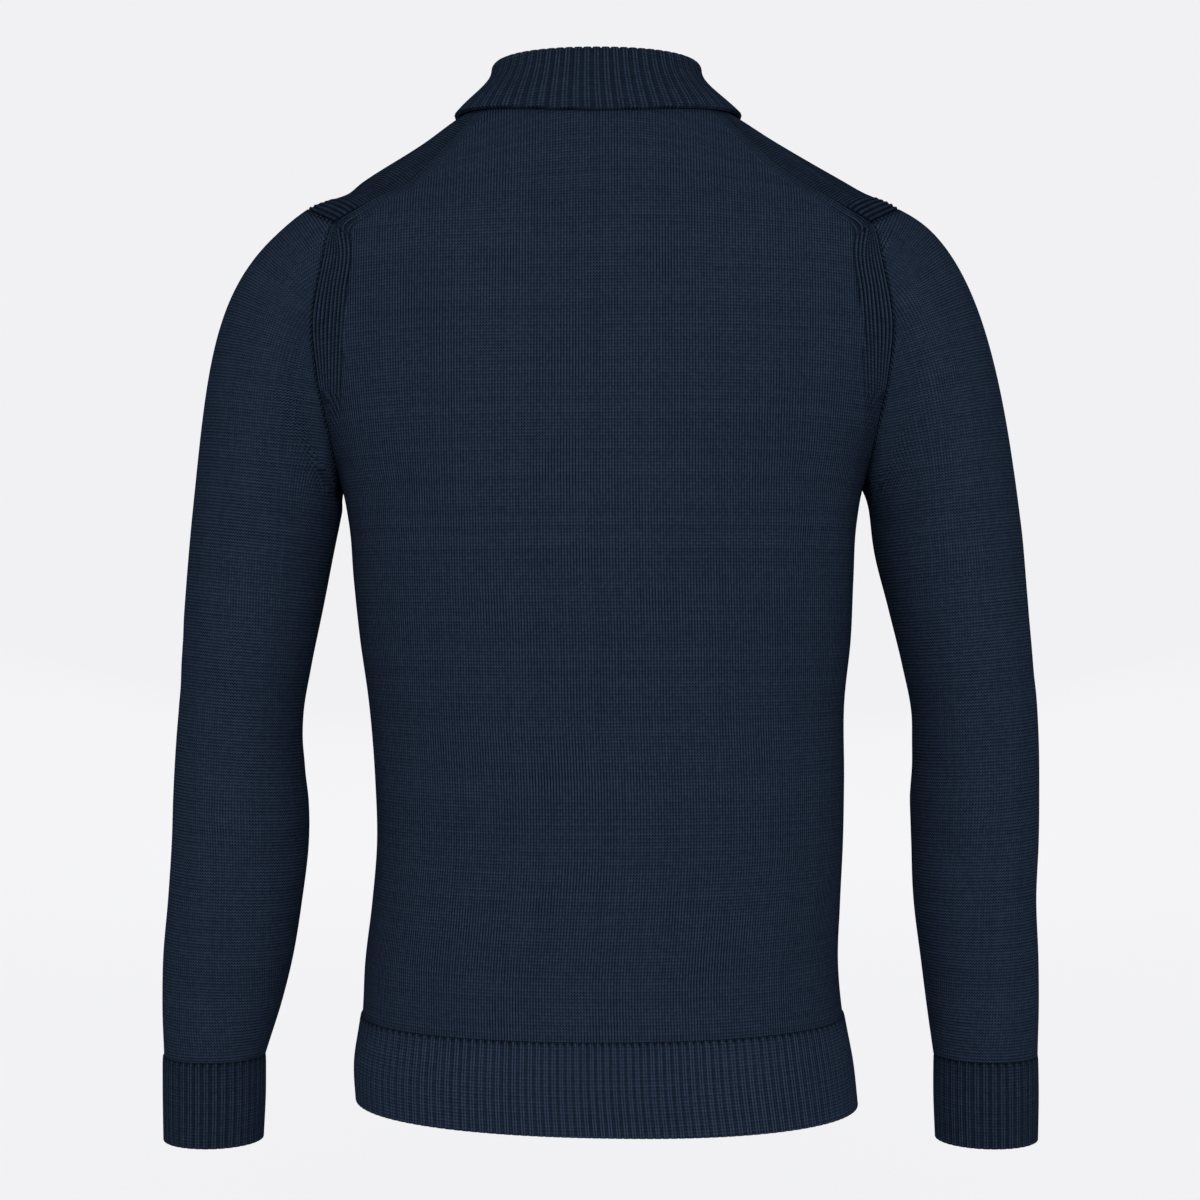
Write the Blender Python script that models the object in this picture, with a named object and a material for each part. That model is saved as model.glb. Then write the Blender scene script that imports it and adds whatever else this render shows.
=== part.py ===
"""Fine-knit pullover with a folded rib collar, as worn, built piece by piece.

Sizes are in millimetres and become metres when a mesh is made. Z is up, the back faces +Y,
the wearer's left is +X. The origin is the middle of the neck at the height of the neck points.
"""

import math

import bmesh
import bpy
import numpy as np

# Cloth
BODY_WALL = 2.0
RIB_WALL = 2.0
RIB_HEIGHT = 0.9
SEAM_GAP = 0.3
SEAM_SLACK = 0.3
ARMHOLE_GAP = 0.4

# Heights
HEM_EDGE = -664.5
HEM_SEAM = -605.0
UNDERARM = -248.0
SHOULDER_TIP = -63.0
SHOULDER_CORNER = -57.0

# Torso sections from hem to neck: height, half width, back depth, front depth, squareness, shift in X
TORSO = (
    (-666.0, 168.5, 121.0, 116.0, 2.20, -3.0),
    (-639.0, 167.8, 119.0, 113.5, 2.20, -0.8),
    (-605.0, 162.5, 116.5, 110.0, 2.20, 0.0),
    (-571.0, 160.1, 113.0, 106.0, 2.20, 0.7),
    (-530.0, 158.4, 109.5, 102.5, 2.20, -2.4),
    (-489.0, 157.8, 107.0, 100.0, 2.20, -5.0),
    (-448.0, 158.8, 107.0, 100.0, 2.20, -4.8),
    (-394.0, 161.0, 109.0, 103.0, 2.25, -2.7),
    (-353.0, 166.0, 112.0, 107.0, 2.25, -2.0),
    (-312.0, 169.0, 115.0, 111.0, 2.30, -0.8),
    (-275.0, 171.6, 117.0, 114.0, 2.30, -0.3),
    (-248.0, 177.0, 117.0, 115.0, 2.30, 0.0),
    (-221.0, 189.0, 116.0, 114.5, 2.30, 0.0),
    (-175.0, 208.0, 113.0, 111.0, 2.30, 0.0),
    (-143.0, 216.0, 109.0, 106.0, 2.30, 0.0),
    (-111.0, 214.0, 104.0, 98.0, 2.30, 0.0),
    (-80.0, 206.0, 98.0, 86.0, 2.30, 0.0),
    (-63.0, 200.5, 92.0, 78.0, 2.20, -0.5),
    (-54.0, 183.5, 88.5, 73.5, 2.15, -0.4),
    (-45.0, 165.0, 85.0, 69.0, 2.10, -0.3),
    (-20.0, 122.5, 76.5, 56.0, 2.10, 1.5),
    (0.0, 93.5, 67.0, 46.0, 2.10, 3.0),
    (12.0, 73.0, 58.0, 40.0, 2.10, 3.5),
    (30.0, 40.0, 40.0, 30.0, 2.10, 4.0),
)

# Neckline in plan: half width, back depth, front depth
NECK_WIDTH = 71.0
NECK_BACK = 60.0
NECK_FRONT = 71.0

# Course lines dip by this much between the shoulders, within this angle of the shoulder line
BACK_DIP = 60.0
TIP_DIP_FRONT = 30.0
CORNER_DIP_FRONT = 5.0
DIP_ANGLE = math.radians(45.0)

# Armhole in the side view, from the underarm up: distance behind the side line, height
ARMHOLE_BACK = (
    (0.0, -248.0),
    (27.0, -241.0),
    (47.0, -216.0),
    (57.0, -177.0),
    (60.5, -135.0),
    (60.0, -103.0),
)
CORNER_BEHIND = 57.0
ARMHOLE_FRONT = (
    (0.0, -248.0),
    (-30.0, -241.0),
    (-53.0, -213.0),
    (-64.0, -170.0),
    (-64.0, -128.0),
    (-54.0, -93.0),
    (-34.0, -72.0),
    (0.0, -63.0),
)

# Ribs beside the armhole, and over the shoulder's end
BAND_RIBS = 8
BAND_PITCH = 2.6
BAND_HEIGHT = 0.8
BAND_KEPT = 8
BAND_START = 1.12
BAND_FULL = 1.5
SHOULDER_RIBS = 4
BACK_BAND_END = 2.9
FRONT_BAND_END = 1.85
BAND_FADE = 0.15
SHOULDER_RIB_FADE = math.radians(18.0)
WRAP_START = 1.6
WRAP_ANGLE = math.radians(12.0)

# Shoulder seam behind the shoulder line: share of the way to the neck, angle behind the side
SHOULDER_SEAM = ((0.25, 24.0), (0.5, 27.0), (0.75, 27.5), (1.0, 25.0))

# Sleeve sections: height, inner edge, outer edge, middle in Y, half depth
SLEEVE_LEFT = (
    (-262.0, 177.8, 276.3, 0.0, 60.0),
    (-285.0, 182.2, 278.6, 0.5, 58.5),
    (-326.0, 189.7, 282.0, 1.5, 56.0),
    (-367.0, 197.8, 284.7, 2.5, 53.0),
    (-401.0, 203.3, 286.4, 3.0, 51.0),
    (-421.0, 204.0, 288.1, 3.0, 50.5),
    (-462.0, 199.9, 290.9, 1.5, 49.5),
    (-489.0, 200.1, 292.2, -0.5, 48.0),
    (-530.0, 205.3, 295.6, -4.5, 45.0),
    (-571.0, 212.5, 299.8, -9.0, 41.5),
    (-600.0, 219.8, 300.8, -12.0, 38.5),
    (-637.0, 231.3, 300.3, -15.0, 35.0),
)
SLEEVE_RIGHT = (
    (-262.0, 181.8, 281.6, 0.0, 60.0),
    (-285.0, 184.5, 284.5, 0.5, 58.5),
    (-326.0, 194.4, 287.9, 1.5, 56.0),
    (-367.0, 204.0, 291.3, 2.5, 53.0),
    (-401.0, 210.1, 294.1, 3.0, 51.0),
    (-421.0, 210.3, 295.0, 3.0, 50.5),
    (-462.0, 209.5, 295.5, 1.5, 49.5),
    (-489.0, 210.1, 295.5, -0.5, 48.0),
    (-530.0, 212.3, 294.6, -4.5, 45.0),
    (-571.0, 217.8, 297.1, -9.0, 41.5),
    (-600.0, 221.8, 298.1, -12.0, 38.5),
    (-637.0, 227.3, 298.1, -15.0, 35.0),
)
SLEEVE_TILT = 0.12
CUFF_TILT = 0.0

# How a sleeve leaves the armhole: outward and downward at the tip, then its reach at either end
CAP_LEFT = (0.68, -0.73, 0.36, 0.48)
CAP_RIGHT = (0.78, -0.62, 0.27, 0.42)
CAP_BELOW = (0.35, -0.94)
CAP_SWELL = 0.25

# Cuff sections below the sleeve: drop from the sleeve's end, inner edge, outer edge, middle in Y, half depth
CUFF_LEFT = (
    (0.0, 232.1, 300.4, -15.0, 34.8),
    (28.0, 232.3, 300.4, -15.5, 34.5),
    (58.0, 233.8, 300.0, -16.0, 34.2),
)
CUFF_RIGHT = (
    (0.0, 228.3, 297.6, -15.0, 34.8),
    (28.0, 228.3, 298.0, -15.5, 34.8),
    (58.0, 229.5, 297.6, -16.0, 34.5),
)
CUFF_RIBS = 38

# Hem band
HEM_STEP = 0.8
HEM_LEAN = 2.0
HEM_RIBS = 156

# Collar rings: half width, back depth, front depth, height at the sides, at the back and in front
STAND_LOW = (67.5, 57.0, 66.0, 22.0, 16.0, -24.0)
STAND_HIGH = (64.5, 55.0, 60.0, 28.0, 27.0, 8.0)
FOLD_INSIDE = (64.5, 55.5, 59.5, 32.5, 32.2, 19.0)
FOLD_OUTSIDE = (69.5, 60.5, 64.5, 32.5, 32.2, 19.0)
FALL_HIGH = (70.0, 62.5, 68.0, 21.0, 20.0, 2.0)
FALL_LOW = (84.5, 67.0, 74.0, 14.0, 9.0, -24.0)
COLLAR_SHIFT = 4.0
COLLAR_SQUARENESS = 2.15
FALL_EDGE_SIDE = -1.0
FALL_EDGE_BACK = -8.5
FALL_EDGE_FRONT = -62.0
FALL_EDGE_LIFT = 2.2
COLLAR_RIBS = 62

# Mesh steps
SIDE_STEPS = 6
ARMHOLE_BACK_STEPS = 9
ARMHOLE_TOP_STEPS = 6
ARMHOLE_FRONT_STEPS = 10
SHOULDER_STEPS = 4
PANEL_COLUMNS = 11
MIDDLE_SPREAD = 0.05
CAP_STEPS = 6
STAND_STEPS = 2
FOLD_STEPS = 3
FALL_STEPS = 3
SOLVE_STEPS = 40

NAVY = (0.0137, 0.0212, 0.0395)
KNIT_ROUGHNESS = 0.85


def smooth_curve(xs, ys):
    """A smooth curve through the points, as a function that takes numbers or arrays."""
    xs = np.asarray(xs, float)
    ys = np.asarray(ys, float)
    slopes = np.gradient(ys, xs)

    def value(x):
        x = np.clip(np.asarray(x, float), xs[0], xs[-1])
        i = np.clip(np.searchsorted(xs, x) - 1, 0, len(xs) - 2)
        h = xs[i + 1] - xs[i]
        t = (x - xs[i]) / h
        bend = ys[i] * (2 * t**3 - 3 * t**2 + 1) + ys[i + 1] * (3 * t**2 - 2 * t**3)
        lean = slopes[i] * (t**3 - 2 * t**2 + t) + slopes[i + 1] * (t**3 - t**2)
        return bend + h * lean

    return value


def table_curves(rows):
    """One smooth curve over the first column for each of the other columns."""
    rows = sorted(rows)
    first = [row[0] for row in rows]
    return [smooth_curve(first, [row[k] for row in rows]) for k in range(1, len(rows[0]))]


torso_width, torso_back, torso_front, torso_square, torso_shift = table_curves(TORSO)


def torso_radius(angle, height):
    """How far the torso reaches from its axis. Angle 0 is the left side and 90 degrees the back."""
    depth = np.where(np.sin(angle) >= 0, torso_back(height), torso_front(height))
    square = torso_square(height)
    across = np.abs(np.cos(angle) / torso_width(height)) ** square
    deep = np.abs(np.sin(angle) / depth) ** square
    return (across + deep) ** (-1.0 / square)


def torso_point(angle, height):
    radius = torso_radius(angle, height)
    x = radius * np.cos(angle) + torso_shift(height)
    y = radius * np.sin(angle)
    return np.stack([x, y, np.broadcast_to(height, x.shape)], axis=-1)


def unit(vectors):
    return vectors / np.linalg.norm(vectors, axis=-1, keepdims=True)


def torso_normal(angle, height):
    turn = 1e-3
    rise = 0.5
    around = torso_point(angle + turn, height) - torso_point(angle - turn, height)
    upward = torso_point(angle, height + rise) - torso_point(angle, height - rise)
    return unit(np.cross(around, upward))


def neck_height(angle):
    """Height at which the torso is as wide as the neckline in plan."""
    depth = np.where(np.sin(angle) >= 0, NECK_BACK, NECK_FRONT)
    wanted = ((np.cos(angle) / NECK_WIDTH) ** 2 + (np.sin(angle) / depth) ** 2) ** -0.5
    low = np.full(np.shape(angle), SHOULDER_TIP)
    high = np.full(np.shape(angle), TORSO[-1][0])
    for _ in range(SOLVE_STEPS):
        middle = (low + high) / 2
        wider = torso_radius(angle, middle) > wanted
        low = np.where(wider, middle, low)
        high = np.where(wider, high, middle)
    return (low + high) / 2


def course_heights(angle):
    """Heights of the five main course lines at this angle: hem, underarm, tip, corner and neck."""
    from_side = np.arcsin(np.clip(np.abs(np.sin(angle)), 0, 1))
    dip = np.sin(math.pi / 2 * np.clip(from_side / DIP_ANGLE, 0, 1)) ** 2
    is_back = np.sin(angle) >= 0
    level = np.ones(np.shape(angle))
    tip = SHOULDER_TIP - dip * np.where(is_back, BACK_DIP, TIP_DIP_FRONT)
    corner = SHOULDER_CORNER - dip * np.where(is_back, BACK_DIP, CORNER_DIP_FRONT)
    return [HEM_SEAM * level, UNDERARM * level, tip, corner, neck_height(angle)]


def course_height(angle, course):
    """Height of a course line: 0 is the hem seam, 1 the underarm, 2 the tip, 3 the corner, 4 the neck."""
    lines = course_heights(angle)
    step = np.clip(np.floor(course), 0, 3).astype(int)
    share = course - step
    low = np.choose(step, lines[:4])
    high = np.choose(step, lines[1:])
    return low + (high - low) * share


def course_at(angle, height):
    """The course line that passes through a height at an angle."""
    return np.array([np.interp(h, course_heights(np.array(a)), range(5)) for a, h in zip(angle, height)])


def angle_behind(behind, height):
    """Angle of the torso point on the left that lies this far behind the side line."""
    depth = np.where(behind >= 0, torso_back(height), torso_front(height))
    square = torso_square(height)
    x = torso_width(height) * (1 - np.abs(behind / depth) ** square) ** (1 / square)
    return np.arctan2(behind, x)


def spaced(points, steps):
    """Indices-as-fractions that part a dense polyline into equal lengths."""
    lengths = np.concatenate([[0], np.cumsum(np.linalg.norm(np.diff(points, axis=0), axis=1))])
    return np.interp(np.linspace(0, lengths[-1], steps + 1), lengths, np.arange(len(points)))


def even_steps(angle, course, steps):
    """The same line on the torso, as points at equal distances."""
    points = torso_point(angle, course_height(angle, course))
    where = spaced(points, steps)
    index = np.arange(len(angle))
    return np.interp(where, index, angle), np.interp(where, index, course)


def armhole_line(rows, steps):
    """Angles and courses of one half of the left armhole, from the underarm up."""
    ways = np.arange(len(rows))
    fine = np.linspace(0, len(rows) - 1, 200)
    behind = smooth_curve(ways, [row[0] for row in rows])(fine)
    height = smooth_curve(ways, [row[1] for row in rows])(fine)
    angle = angle_behind(behind, height)
    return even_steps(angle, course_at(angle, height), steps)


def corner_angle_height():
    """Where the shoulder seam meets the armhole, on the corner course line."""
    height = np.array(SHOULDER_CORNER)
    for _ in range(SOLVE_STEPS):
        angle = angle_behind(np.array(CORNER_BEHIND), height)
        height = course_heights(angle)[3]
    return float(angle), float(height)


def shoulder_line(angle, course):
    """The shoulder seam from the corner to the neck: short steps for the ribs, then even ones."""
    points = torso_point(angle, course_height(angle, course))
    lengths = np.concatenate([[0], np.cumsum(np.linalg.norm(np.diff(points, axis=0), axis=1))])
    ribs = BAND_PITCH * np.arange(2 * SHOULDER_RIBS + 1)
    rest = np.linspace(ribs[-1], lengths[-1], SHOULDER_STEPS + 1)[1:]
    where = np.concatenate([ribs, rest])
    return np.interp(where, lengths, angle), np.interp(where, lengths, course)


def joined(*lines):
    """Several (angles, courses) lines end to end, without the doubled points."""
    angle = np.concatenate([lines[0][0]] + [line[0][1:] for line in lines[1:]])
    course = np.concatenate([lines[0][1]] + [line[1][1:] for line in lines[1:]])
    return angle, course


def seam_lines():
    """The left side's seams on the torso, each as angles and courses."""
    corner_angle, corner_height = corner_angle_height()
    back_rows = ARMHOLE_BACK + ((CORNER_BEHIND, corner_height),)
    back_hole = armhole_line(back_rows, ARMHOLE_BACK_STEPS)
    front_hole = armhole_line(ARMHOLE_FRONT, ARMHOLE_FRONT_STEPS)
    back_hole[1][-1] = 3.0
    back_hole[0][-1] = corner_angle
    front_hole[1][-1] = 2.0
    front_hole[0][-1] = 0.0
    side = (np.zeros(SIDE_STEPS + 1), np.linspace(0, 1, SIDE_STEPS + 1))
    fine = np.linspace(0, 1, 200)
    top_hole = even_steps(corner_angle * fine, 2 + fine, ARMHOLE_TOP_STEPS)
    shares = [0.0] + [row[0] for row in SHOULDER_SEAM]
    angles = [corner_angle] + [math.radians(row[1]) for row in SHOULDER_SEAM]
    shoulder = shoulder_line(smooth_curve(shares, angles)(fine), 3 + fine)
    return side, back_hole, front_hole, top_hole, shoulder


def panel_grid(start, end, course, is_front):
    """Angles and heights of a panel: a row for each course, with close columns beside its seams.

    On the front panel they widen above the armhole, to follow the bend over the shoulder line.
    """
    turn = 1e-3
    here = torso_point(start, course_height(start, course))
    near = torso_point(start + turn, course_height(start + turn, course))
    speed = np.linalg.norm(near - here, axis=1) / turn
    reach = (BAND_PITCH / 2) * np.arange(2 * BAND_RIBS + 1)
    way = np.sign(end - start)[:, None]
    band = way * reach[None, :] / speed[:, None]
    if is_front:
        shares = np.linspace(0, 1, 2 * BAND_RIBS + 1)[None, :]
        reached = np.abs(band[:, -1:])
        wrap = way * np.maximum(start[:, None] + WRAP_ANGLE, reached) * shares
        high = np.clip((course[:, None] - WRAP_START) / (2 - WRAP_START), 0, 1)
        band = band + (wrap - band) * high
    first = start[:, None] + band
    last = end[:, None] - band[:, ::-1]
    even = np.linspace(0, 1, PANEL_COLUMNS + 1)[None, 1:-1]
    share = even - MIDDLE_SPREAD * np.sin(2 * math.pi * even)
    middle = first[:, -1:] + (last[:, :1] - first[:, -1:]) * share
    angle = np.concatenate([first, middle, last], axis=1)
    return angle, course_height(angle, np.broadcast_to(course[:, None], angle.shape))


def band_relief(course, columns, end):
    """Ribs in the close columns beside both armholes, fading towards the underarm."""
    fade = np.clip((course - BAND_START) / (BAND_FULL - BAND_START), 0, 1)
    fade = fade * np.clip((end - course) / BAND_FADE, 0, 1)
    ribs = np.zeros(columns)
    ribs[1:2 * BAND_RIBS:2] = BAND_HEIGHT
    return fade[:, None] * (ribs + ribs[::-1])[None, :]


def shoulder_relief(course, angle):
    """Ribs across the shoulder's end on the front panel, from its seam to the shoulder line."""
    rows = np.zeros(len(course))
    first = int(np.argmax(course >= 3.0))
    rows[first + 1:first + 2 * SHOULDER_RIBS:2] = BAND_HEIGHT
    behind_side = np.arcsin(np.sin(angle))
    fade = np.clip(0.5 + behind_side / SHOULDER_RIB_FADE, 0, 1)
    return rows[:, None] * fade


def torso_wall(name, start, end, course, is_front):
    """A panel on the torso between two seams, as a closed wall with ribs beside the armholes."""
    angle, height = panel_grid(start, end, course, is_front)
    face = torso_point(angle, height)
    normal = torso_normal(angle, height)
    if is_front:
        relief = band_relief(course, angle.shape[1], FRONT_BAND_END) + shoulder_relief(course, angle)
    else:
        relief = band_relief(course, angle.shape[1], BACK_BAND_END)
    outer = face + relief[..., None] * normal
    band = list(range(0, 2 * BAND_RIBS, BAND_KEPT))
    middle = list(range(2 * BAND_RIBS, 2 * BAND_RIBS + PANEL_COLUMNS + 1))
    kept = band + middle + [middle[-1] + BAND_KEPT + k for k in band]
    inner = (face - BODY_WALL * normal)[:, kept]
    wall(name, outer, inner, kept, False, is_front)
    return face


def strip_faces(first, second, closed):
    """Quads between two equal rows of vertex numbers."""
    count = len(first)
    last = count if closed else count - 1
    return [(first[i], first[(i + 1) % count], second[(i + 1) % count], second[i]) for i in range(last)]


def cap_faces(fine, coarse, kept, closed):
    """Triangles between a fine row and a coarse row, whose points match the fine row's kept ones."""
    faces = []
    ends = list(kept[1:]) + ([len(fine)] if closed else [])
    for j, last in enumerate(ends):
        here = coarse[j]
        for k in range(kept[j], last):
            faces.append((fine[k], fine[(k + 1) % len(fine)], here))
        faces.append((here, fine[last % len(fine)], coarse[(j + 1) % len(coarse)]))
    return faces


def edge_faces(outer, inner, leans_down):
    """Triangles on a panel's side edge, split the same way as the sleeve's end that faces it."""
    faces = []
    for r in range(len(outer) - 1):
        if leans_down:
            faces += [(outer[r], outer[r + 1], inner[r + 1]), (outer[r], inner[r + 1], inner[r])]
        else:
            faces += [(outer[r], outer[r + 1], inner[r]), (inner[r], outer[r + 1], inner[r + 1])]
    return faces


def wall(name, outer, inner, kept, closed, leans_down=False):
    """One closed body between an outer and an inner grid, which has the outer's kept columns."""
    rows, fine = outer.shape[:2]
    coarse = inner.shape[1]
    outer_ids = np.arange(rows * fine).reshape(rows, fine)
    inner_ids = rows * fine + np.arange(rows * coarse).reshape(rows, coarse)
    faces = []
    for r in range(rows - 1):
        faces += strip_faces(outer_ids[r], outer_ids[r + 1], closed)
        faces += strip_faces(inner_ids[r + 1], inner_ids[r], closed)
    faces += cap_faces(outer_ids[-1], inner_ids[-1], kept, closed)
    faces += [face[::-1] for face in cap_faces(outer_ids[0], inner_ids[0], kept, closed)]
    if not closed:
        faces += [face[::-1] for face in edge_faces(outer_ids[:, 0], inner_ids[:, 0], leans_down)]
        faces += edge_faces(outer_ids[:, -1], inner_ids[:, -1], leans_down)
    points = np.concatenate([outer.reshape(-1, 3), inner.reshape(-1, 3)]) / 1000.0
    add_object(name, points, faces)


def add_object(name, points, faces):
    mesh = bpy.data.meshes.new(name)
    mesh.from_pydata(points.tolist(), [], [tuple(int(i) for i in face) for face in faces])
    shape = bmesh.new()
    shape.from_mesh(mesh)
    bmesh.ops.triangulate(shape, faces=shape.faces[:])
    bmesh.ops.recalc_face_normals(shape, faces=shape.faces[:])
    if shape.calc_volume(signed=True) < 0:
        bmesh.ops.reverse_faces(shape, faces=shape.faces[:])
    shape.to_mesh(mesh)
    shape.free()
    mesh.shade_smooth()
    mesh.set_sharp_from_angle(angle=math.radians(40))
    mesh.materials.append(knit_material(name))
    obj = bpy.data.objects.new(name, mesh)
    bpy.context.scene.collection.objects.link(obj)
    return obj


def knit_material(name):
    material = bpy.data.materials.new(name + "_knit")
    material.use_nodes = True
    shader = material.node_tree.nodes["Principled BSDF"]
    shader.inputs["Base Color"].default_value = (*NAVY, 1.0)
    shader.inputs["Roughness"].default_value = KNIT_ROUGHNESS
    shader.inputs["Metallic"].default_value = 0.0
    return material


def rib_relief(columns):
    """Outward offsets that turn a row of points into ribs, two points to a rib."""
    return RIB_HEIGHT * (np.arange(columns) % 2)


def section_ring(angle, inner_edge, outer_edge, middle_y, half_depth, height, tilt):
    """An oval sleeve section. Angle 0 is the side next to the body and 90 degrees the back."""
    middle_x = (inner_edge + outer_edge) / 2
    half_width = (outer_edge - inner_edge) / 2
    across = -half_width * np.cos(angle)
    x = middle_x + across
    y = middle_y + half_depth * np.sin(angle)
    z = height + tilt * across
    return np.stack([x, y, z], axis=-1)


def grid_normals(grid, closed):
    """Unit normals of a grid of points, pointing away from the middle of each row."""
    if closed:
        around = np.roll(grid, -1, axis=1) - np.roll(grid, 1, axis=1)
    else:
        around = np.gradient(grid, axis=1)
    along = np.gradient(grid, axis=0)
    normals = unit(np.cross(around, along))
    middle = grid.mean(axis=1, keepdims=True)
    if np.sum(normals * (grid - middle)) < 0:
        normals = -normals
    return normals


def armhole_ring(lines):
    """Angles, heights and section angles round the left armhole: underarm, back, tip, front."""
    _, back_hole, front_hole, top_hole, _ = lines
    down_top = (top_hole[0][::-1], top_hole[1][::-1])
    down_front = (front_hole[0][::-1], front_hole[1][::-1])
    angle, course = joined(back_hole, down_top, down_front)
    behind_steps = ARMHOLE_BACK_STEPS + ARMHOLE_TOP_STEPS
    behind = math.pi * np.arange(behind_steps + 1) / behind_steps
    before = math.pi + math.pi * np.arange(1, ARMHOLE_FRONT_STEPS) / ARMHOLE_FRONT_STEPS
    return angle[:-1], course_height(angle, course)[:-1], np.concatenate([behind, before])


def sleeve_grid(table, cap, ring, side):
    """Outer points of a sleeve, drawn on the left side: a row for each section from armhole to cuff."""
    angle, height, section = ring
    start = torso_point(angle, height)
    start[:, 0] += (side - 1) * torso_shift(height)
    normal = torso_normal(angle, height)
    inner_edge, outer_edge, middle_y, half_depth = table_curves(table)

    def level(z, tilt):
        return section_ring(section, inner_edge(z), outer_edge(z), middle_y(z), half_depth(z), z, tilt)

    top = table[0][0]
    end = level(top, SLEEVE_TILT)
    below = level(top - 12.0, SLEEVE_TILT)
    reach = np.linalg.norm(end - start, axis=1, keepdims=True)
    high = ((1 - np.cos(section)) / 2)[:, None]
    tip_out, tip_down, leave_reach, arrive_reach = cap
    leave = np.array([CAP_BELOW[0], 0, CAP_BELOW[1]]) * (1 - high) + np.array([tip_out, 0, tip_down]) * high
    leave = unit(leave + CAP_SWELL * normal * high)
    seam_way = unit(np.roll(start, -1, axis=0) - np.roll(start, 1, axis=0))
    away = unit(np.cross(seam_way, normal))
    away = away * np.sign(np.sum(away * leave, axis=1, keepdims=True))
    clear = ARMHOLE_GAP * away + SEAM_GAP * (1 - high) * normal
    first = start + clear
    control_a = first + leave_reach * reach * leave
    control_b = end + arrive_reach * reach * unit(end - below)
    rows = []
    for t in np.linspace(0, 1, CAP_STEPS + 1):
        s = 1 - t
        rows.append(s**3 * first + 3 * s**2 * t * control_a + 3 * s * t**2 * control_b + t**3 * end)
    for row in table[1:]:
        share = (row[0] - top) / (table[-1][0] - top)
        rows.append(level(row[0], SLEEVE_TILT + (CUFF_TILT - SLEEVE_TILT) * share))
    return np.array(rows), normal, high


def mirrored(grid, side):
    """The grid itself for the left side, or its mirror image for the right."""
    return grid * np.array([side, 1, 1])


def sleeve(name, table, cap, ring, side):
    outer, seam_normal, high = sleeve_grid(table, cap, ring, side)
    normals = grid_normals(outer, True)
    share = np.sqrt(high)
    normals[0] = unit(normals[0] * (1 - share) + seam_normal * share)
    inner = outer - BODY_WALL * normals
    wall(name, mirrored(outer, side), mirrored(inner, side), range(outer.shape[1]), True)


def cuff(name, table, top, side):
    """A ribbed tube below a sleeve whose last section is at this height."""
    count = 2 * CUFF_RIBS
    angle = 2 * math.pi * np.arange(count) / count
    base = []
    for drop, inner_edge, outer_edge, middle_y, half_depth in table:
        height = top - SEAM_GAP - drop
        base.append(section_ring(angle, inner_edge, outer_edge, middle_y, half_depth, height, CUFF_TILT))
    base = np.array(base)
    normals = grid_normals(base, True)
    normals[..., 2] = 0
    normals = unit(normals)
    ribbed = base + normals * rib_relief(count)[None, :, None]
    plain = (base - RIB_WALL * normals)[:, ::2]
    wall(name, mirrored(ribbed, side), mirrored(plain, side), range(0, count, 2), True)


def hem(name, start, end):
    """Half of the hem band, from one side seam to the other."""
    count = HEM_RIBS
    angle = np.linspace(start, end, count + 1)[None, :]
    share = np.array([0.0, 0.5, 1.0])[:, None]
    edge = HEM_EDGE + HEM_LEAN * np.cos(angle)
    height = HEM_SEAM - SEAM_GAP + (edge - HEM_SEAM + SEAM_GAP) * share
    angle, height = np.broadcast_arrays(angle, height)
    normals = torso_normal(angle, height)
    normals[..., 2] = 0
    normals = unit(normals)
    base = torso_point(angle, height)
    ribbed = base + normals * (HEM_STEP * 0.5 + rib_relief(count + 1))[None, :, None]
    plain = (base - (RIB_WALL - HEM_STEP * 0.5) * normals)[:, ::2]
    wall(name, ribbed, plain, range(0, count + 1, 2), False)


def collar_ring(angle, row):
    """A collar section whose height differs at the sides, the back and the front."""
    width, back, front, side_z, back_z, front_z = row
    depth = np.where(np.sin(angle) >= 0, back, front)
    square = COLLAR_SQUARENESS
    across = np.abs(np.cos(angle) / width) ** square
    deep = np.abs(np.sin(angle) / depth) ** square
    radius = (across + deep) ** (-1 / square)
    lean = np.sin(angle) ** 2
    far_z = np.where(np.sin(angle) >= 0, back_z, front_z)
    z = side_z + (far_z - side_z) * lean
    return np.stack([radius * np.cos(angle) + COLLAR_SHIFT, radius * np.sin(angle), z], axis=-1)


def along_polyline(line, angle):
    """Points of a closed polyline round the Z axis at the given angles, on its straight sides."""
    bearing = np.unwrap(np.arctan2(line[:, 1], line[:, 0]))
    if bearing[-1] < bearing[0]:
        line = line[::-1]
        bearing = bearing[::-1]
    turns = np.concatenate([bearing - 2 * math.pi, bearing, bearing + 2 * math.pi])
    tripled = np.concatenate([line, line, line])
    return np.stack([np.interp(angle, turns, tripled[:, k]) for k in range(3)], axis=-1)


def blend(points, share):
    """A point on the curve that a few control rings steer."""
    if len(points) == 1:
        return points[0]
    return (1 - share) * blend(points[:-1], share) + share * blend(points[1:], share)


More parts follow.
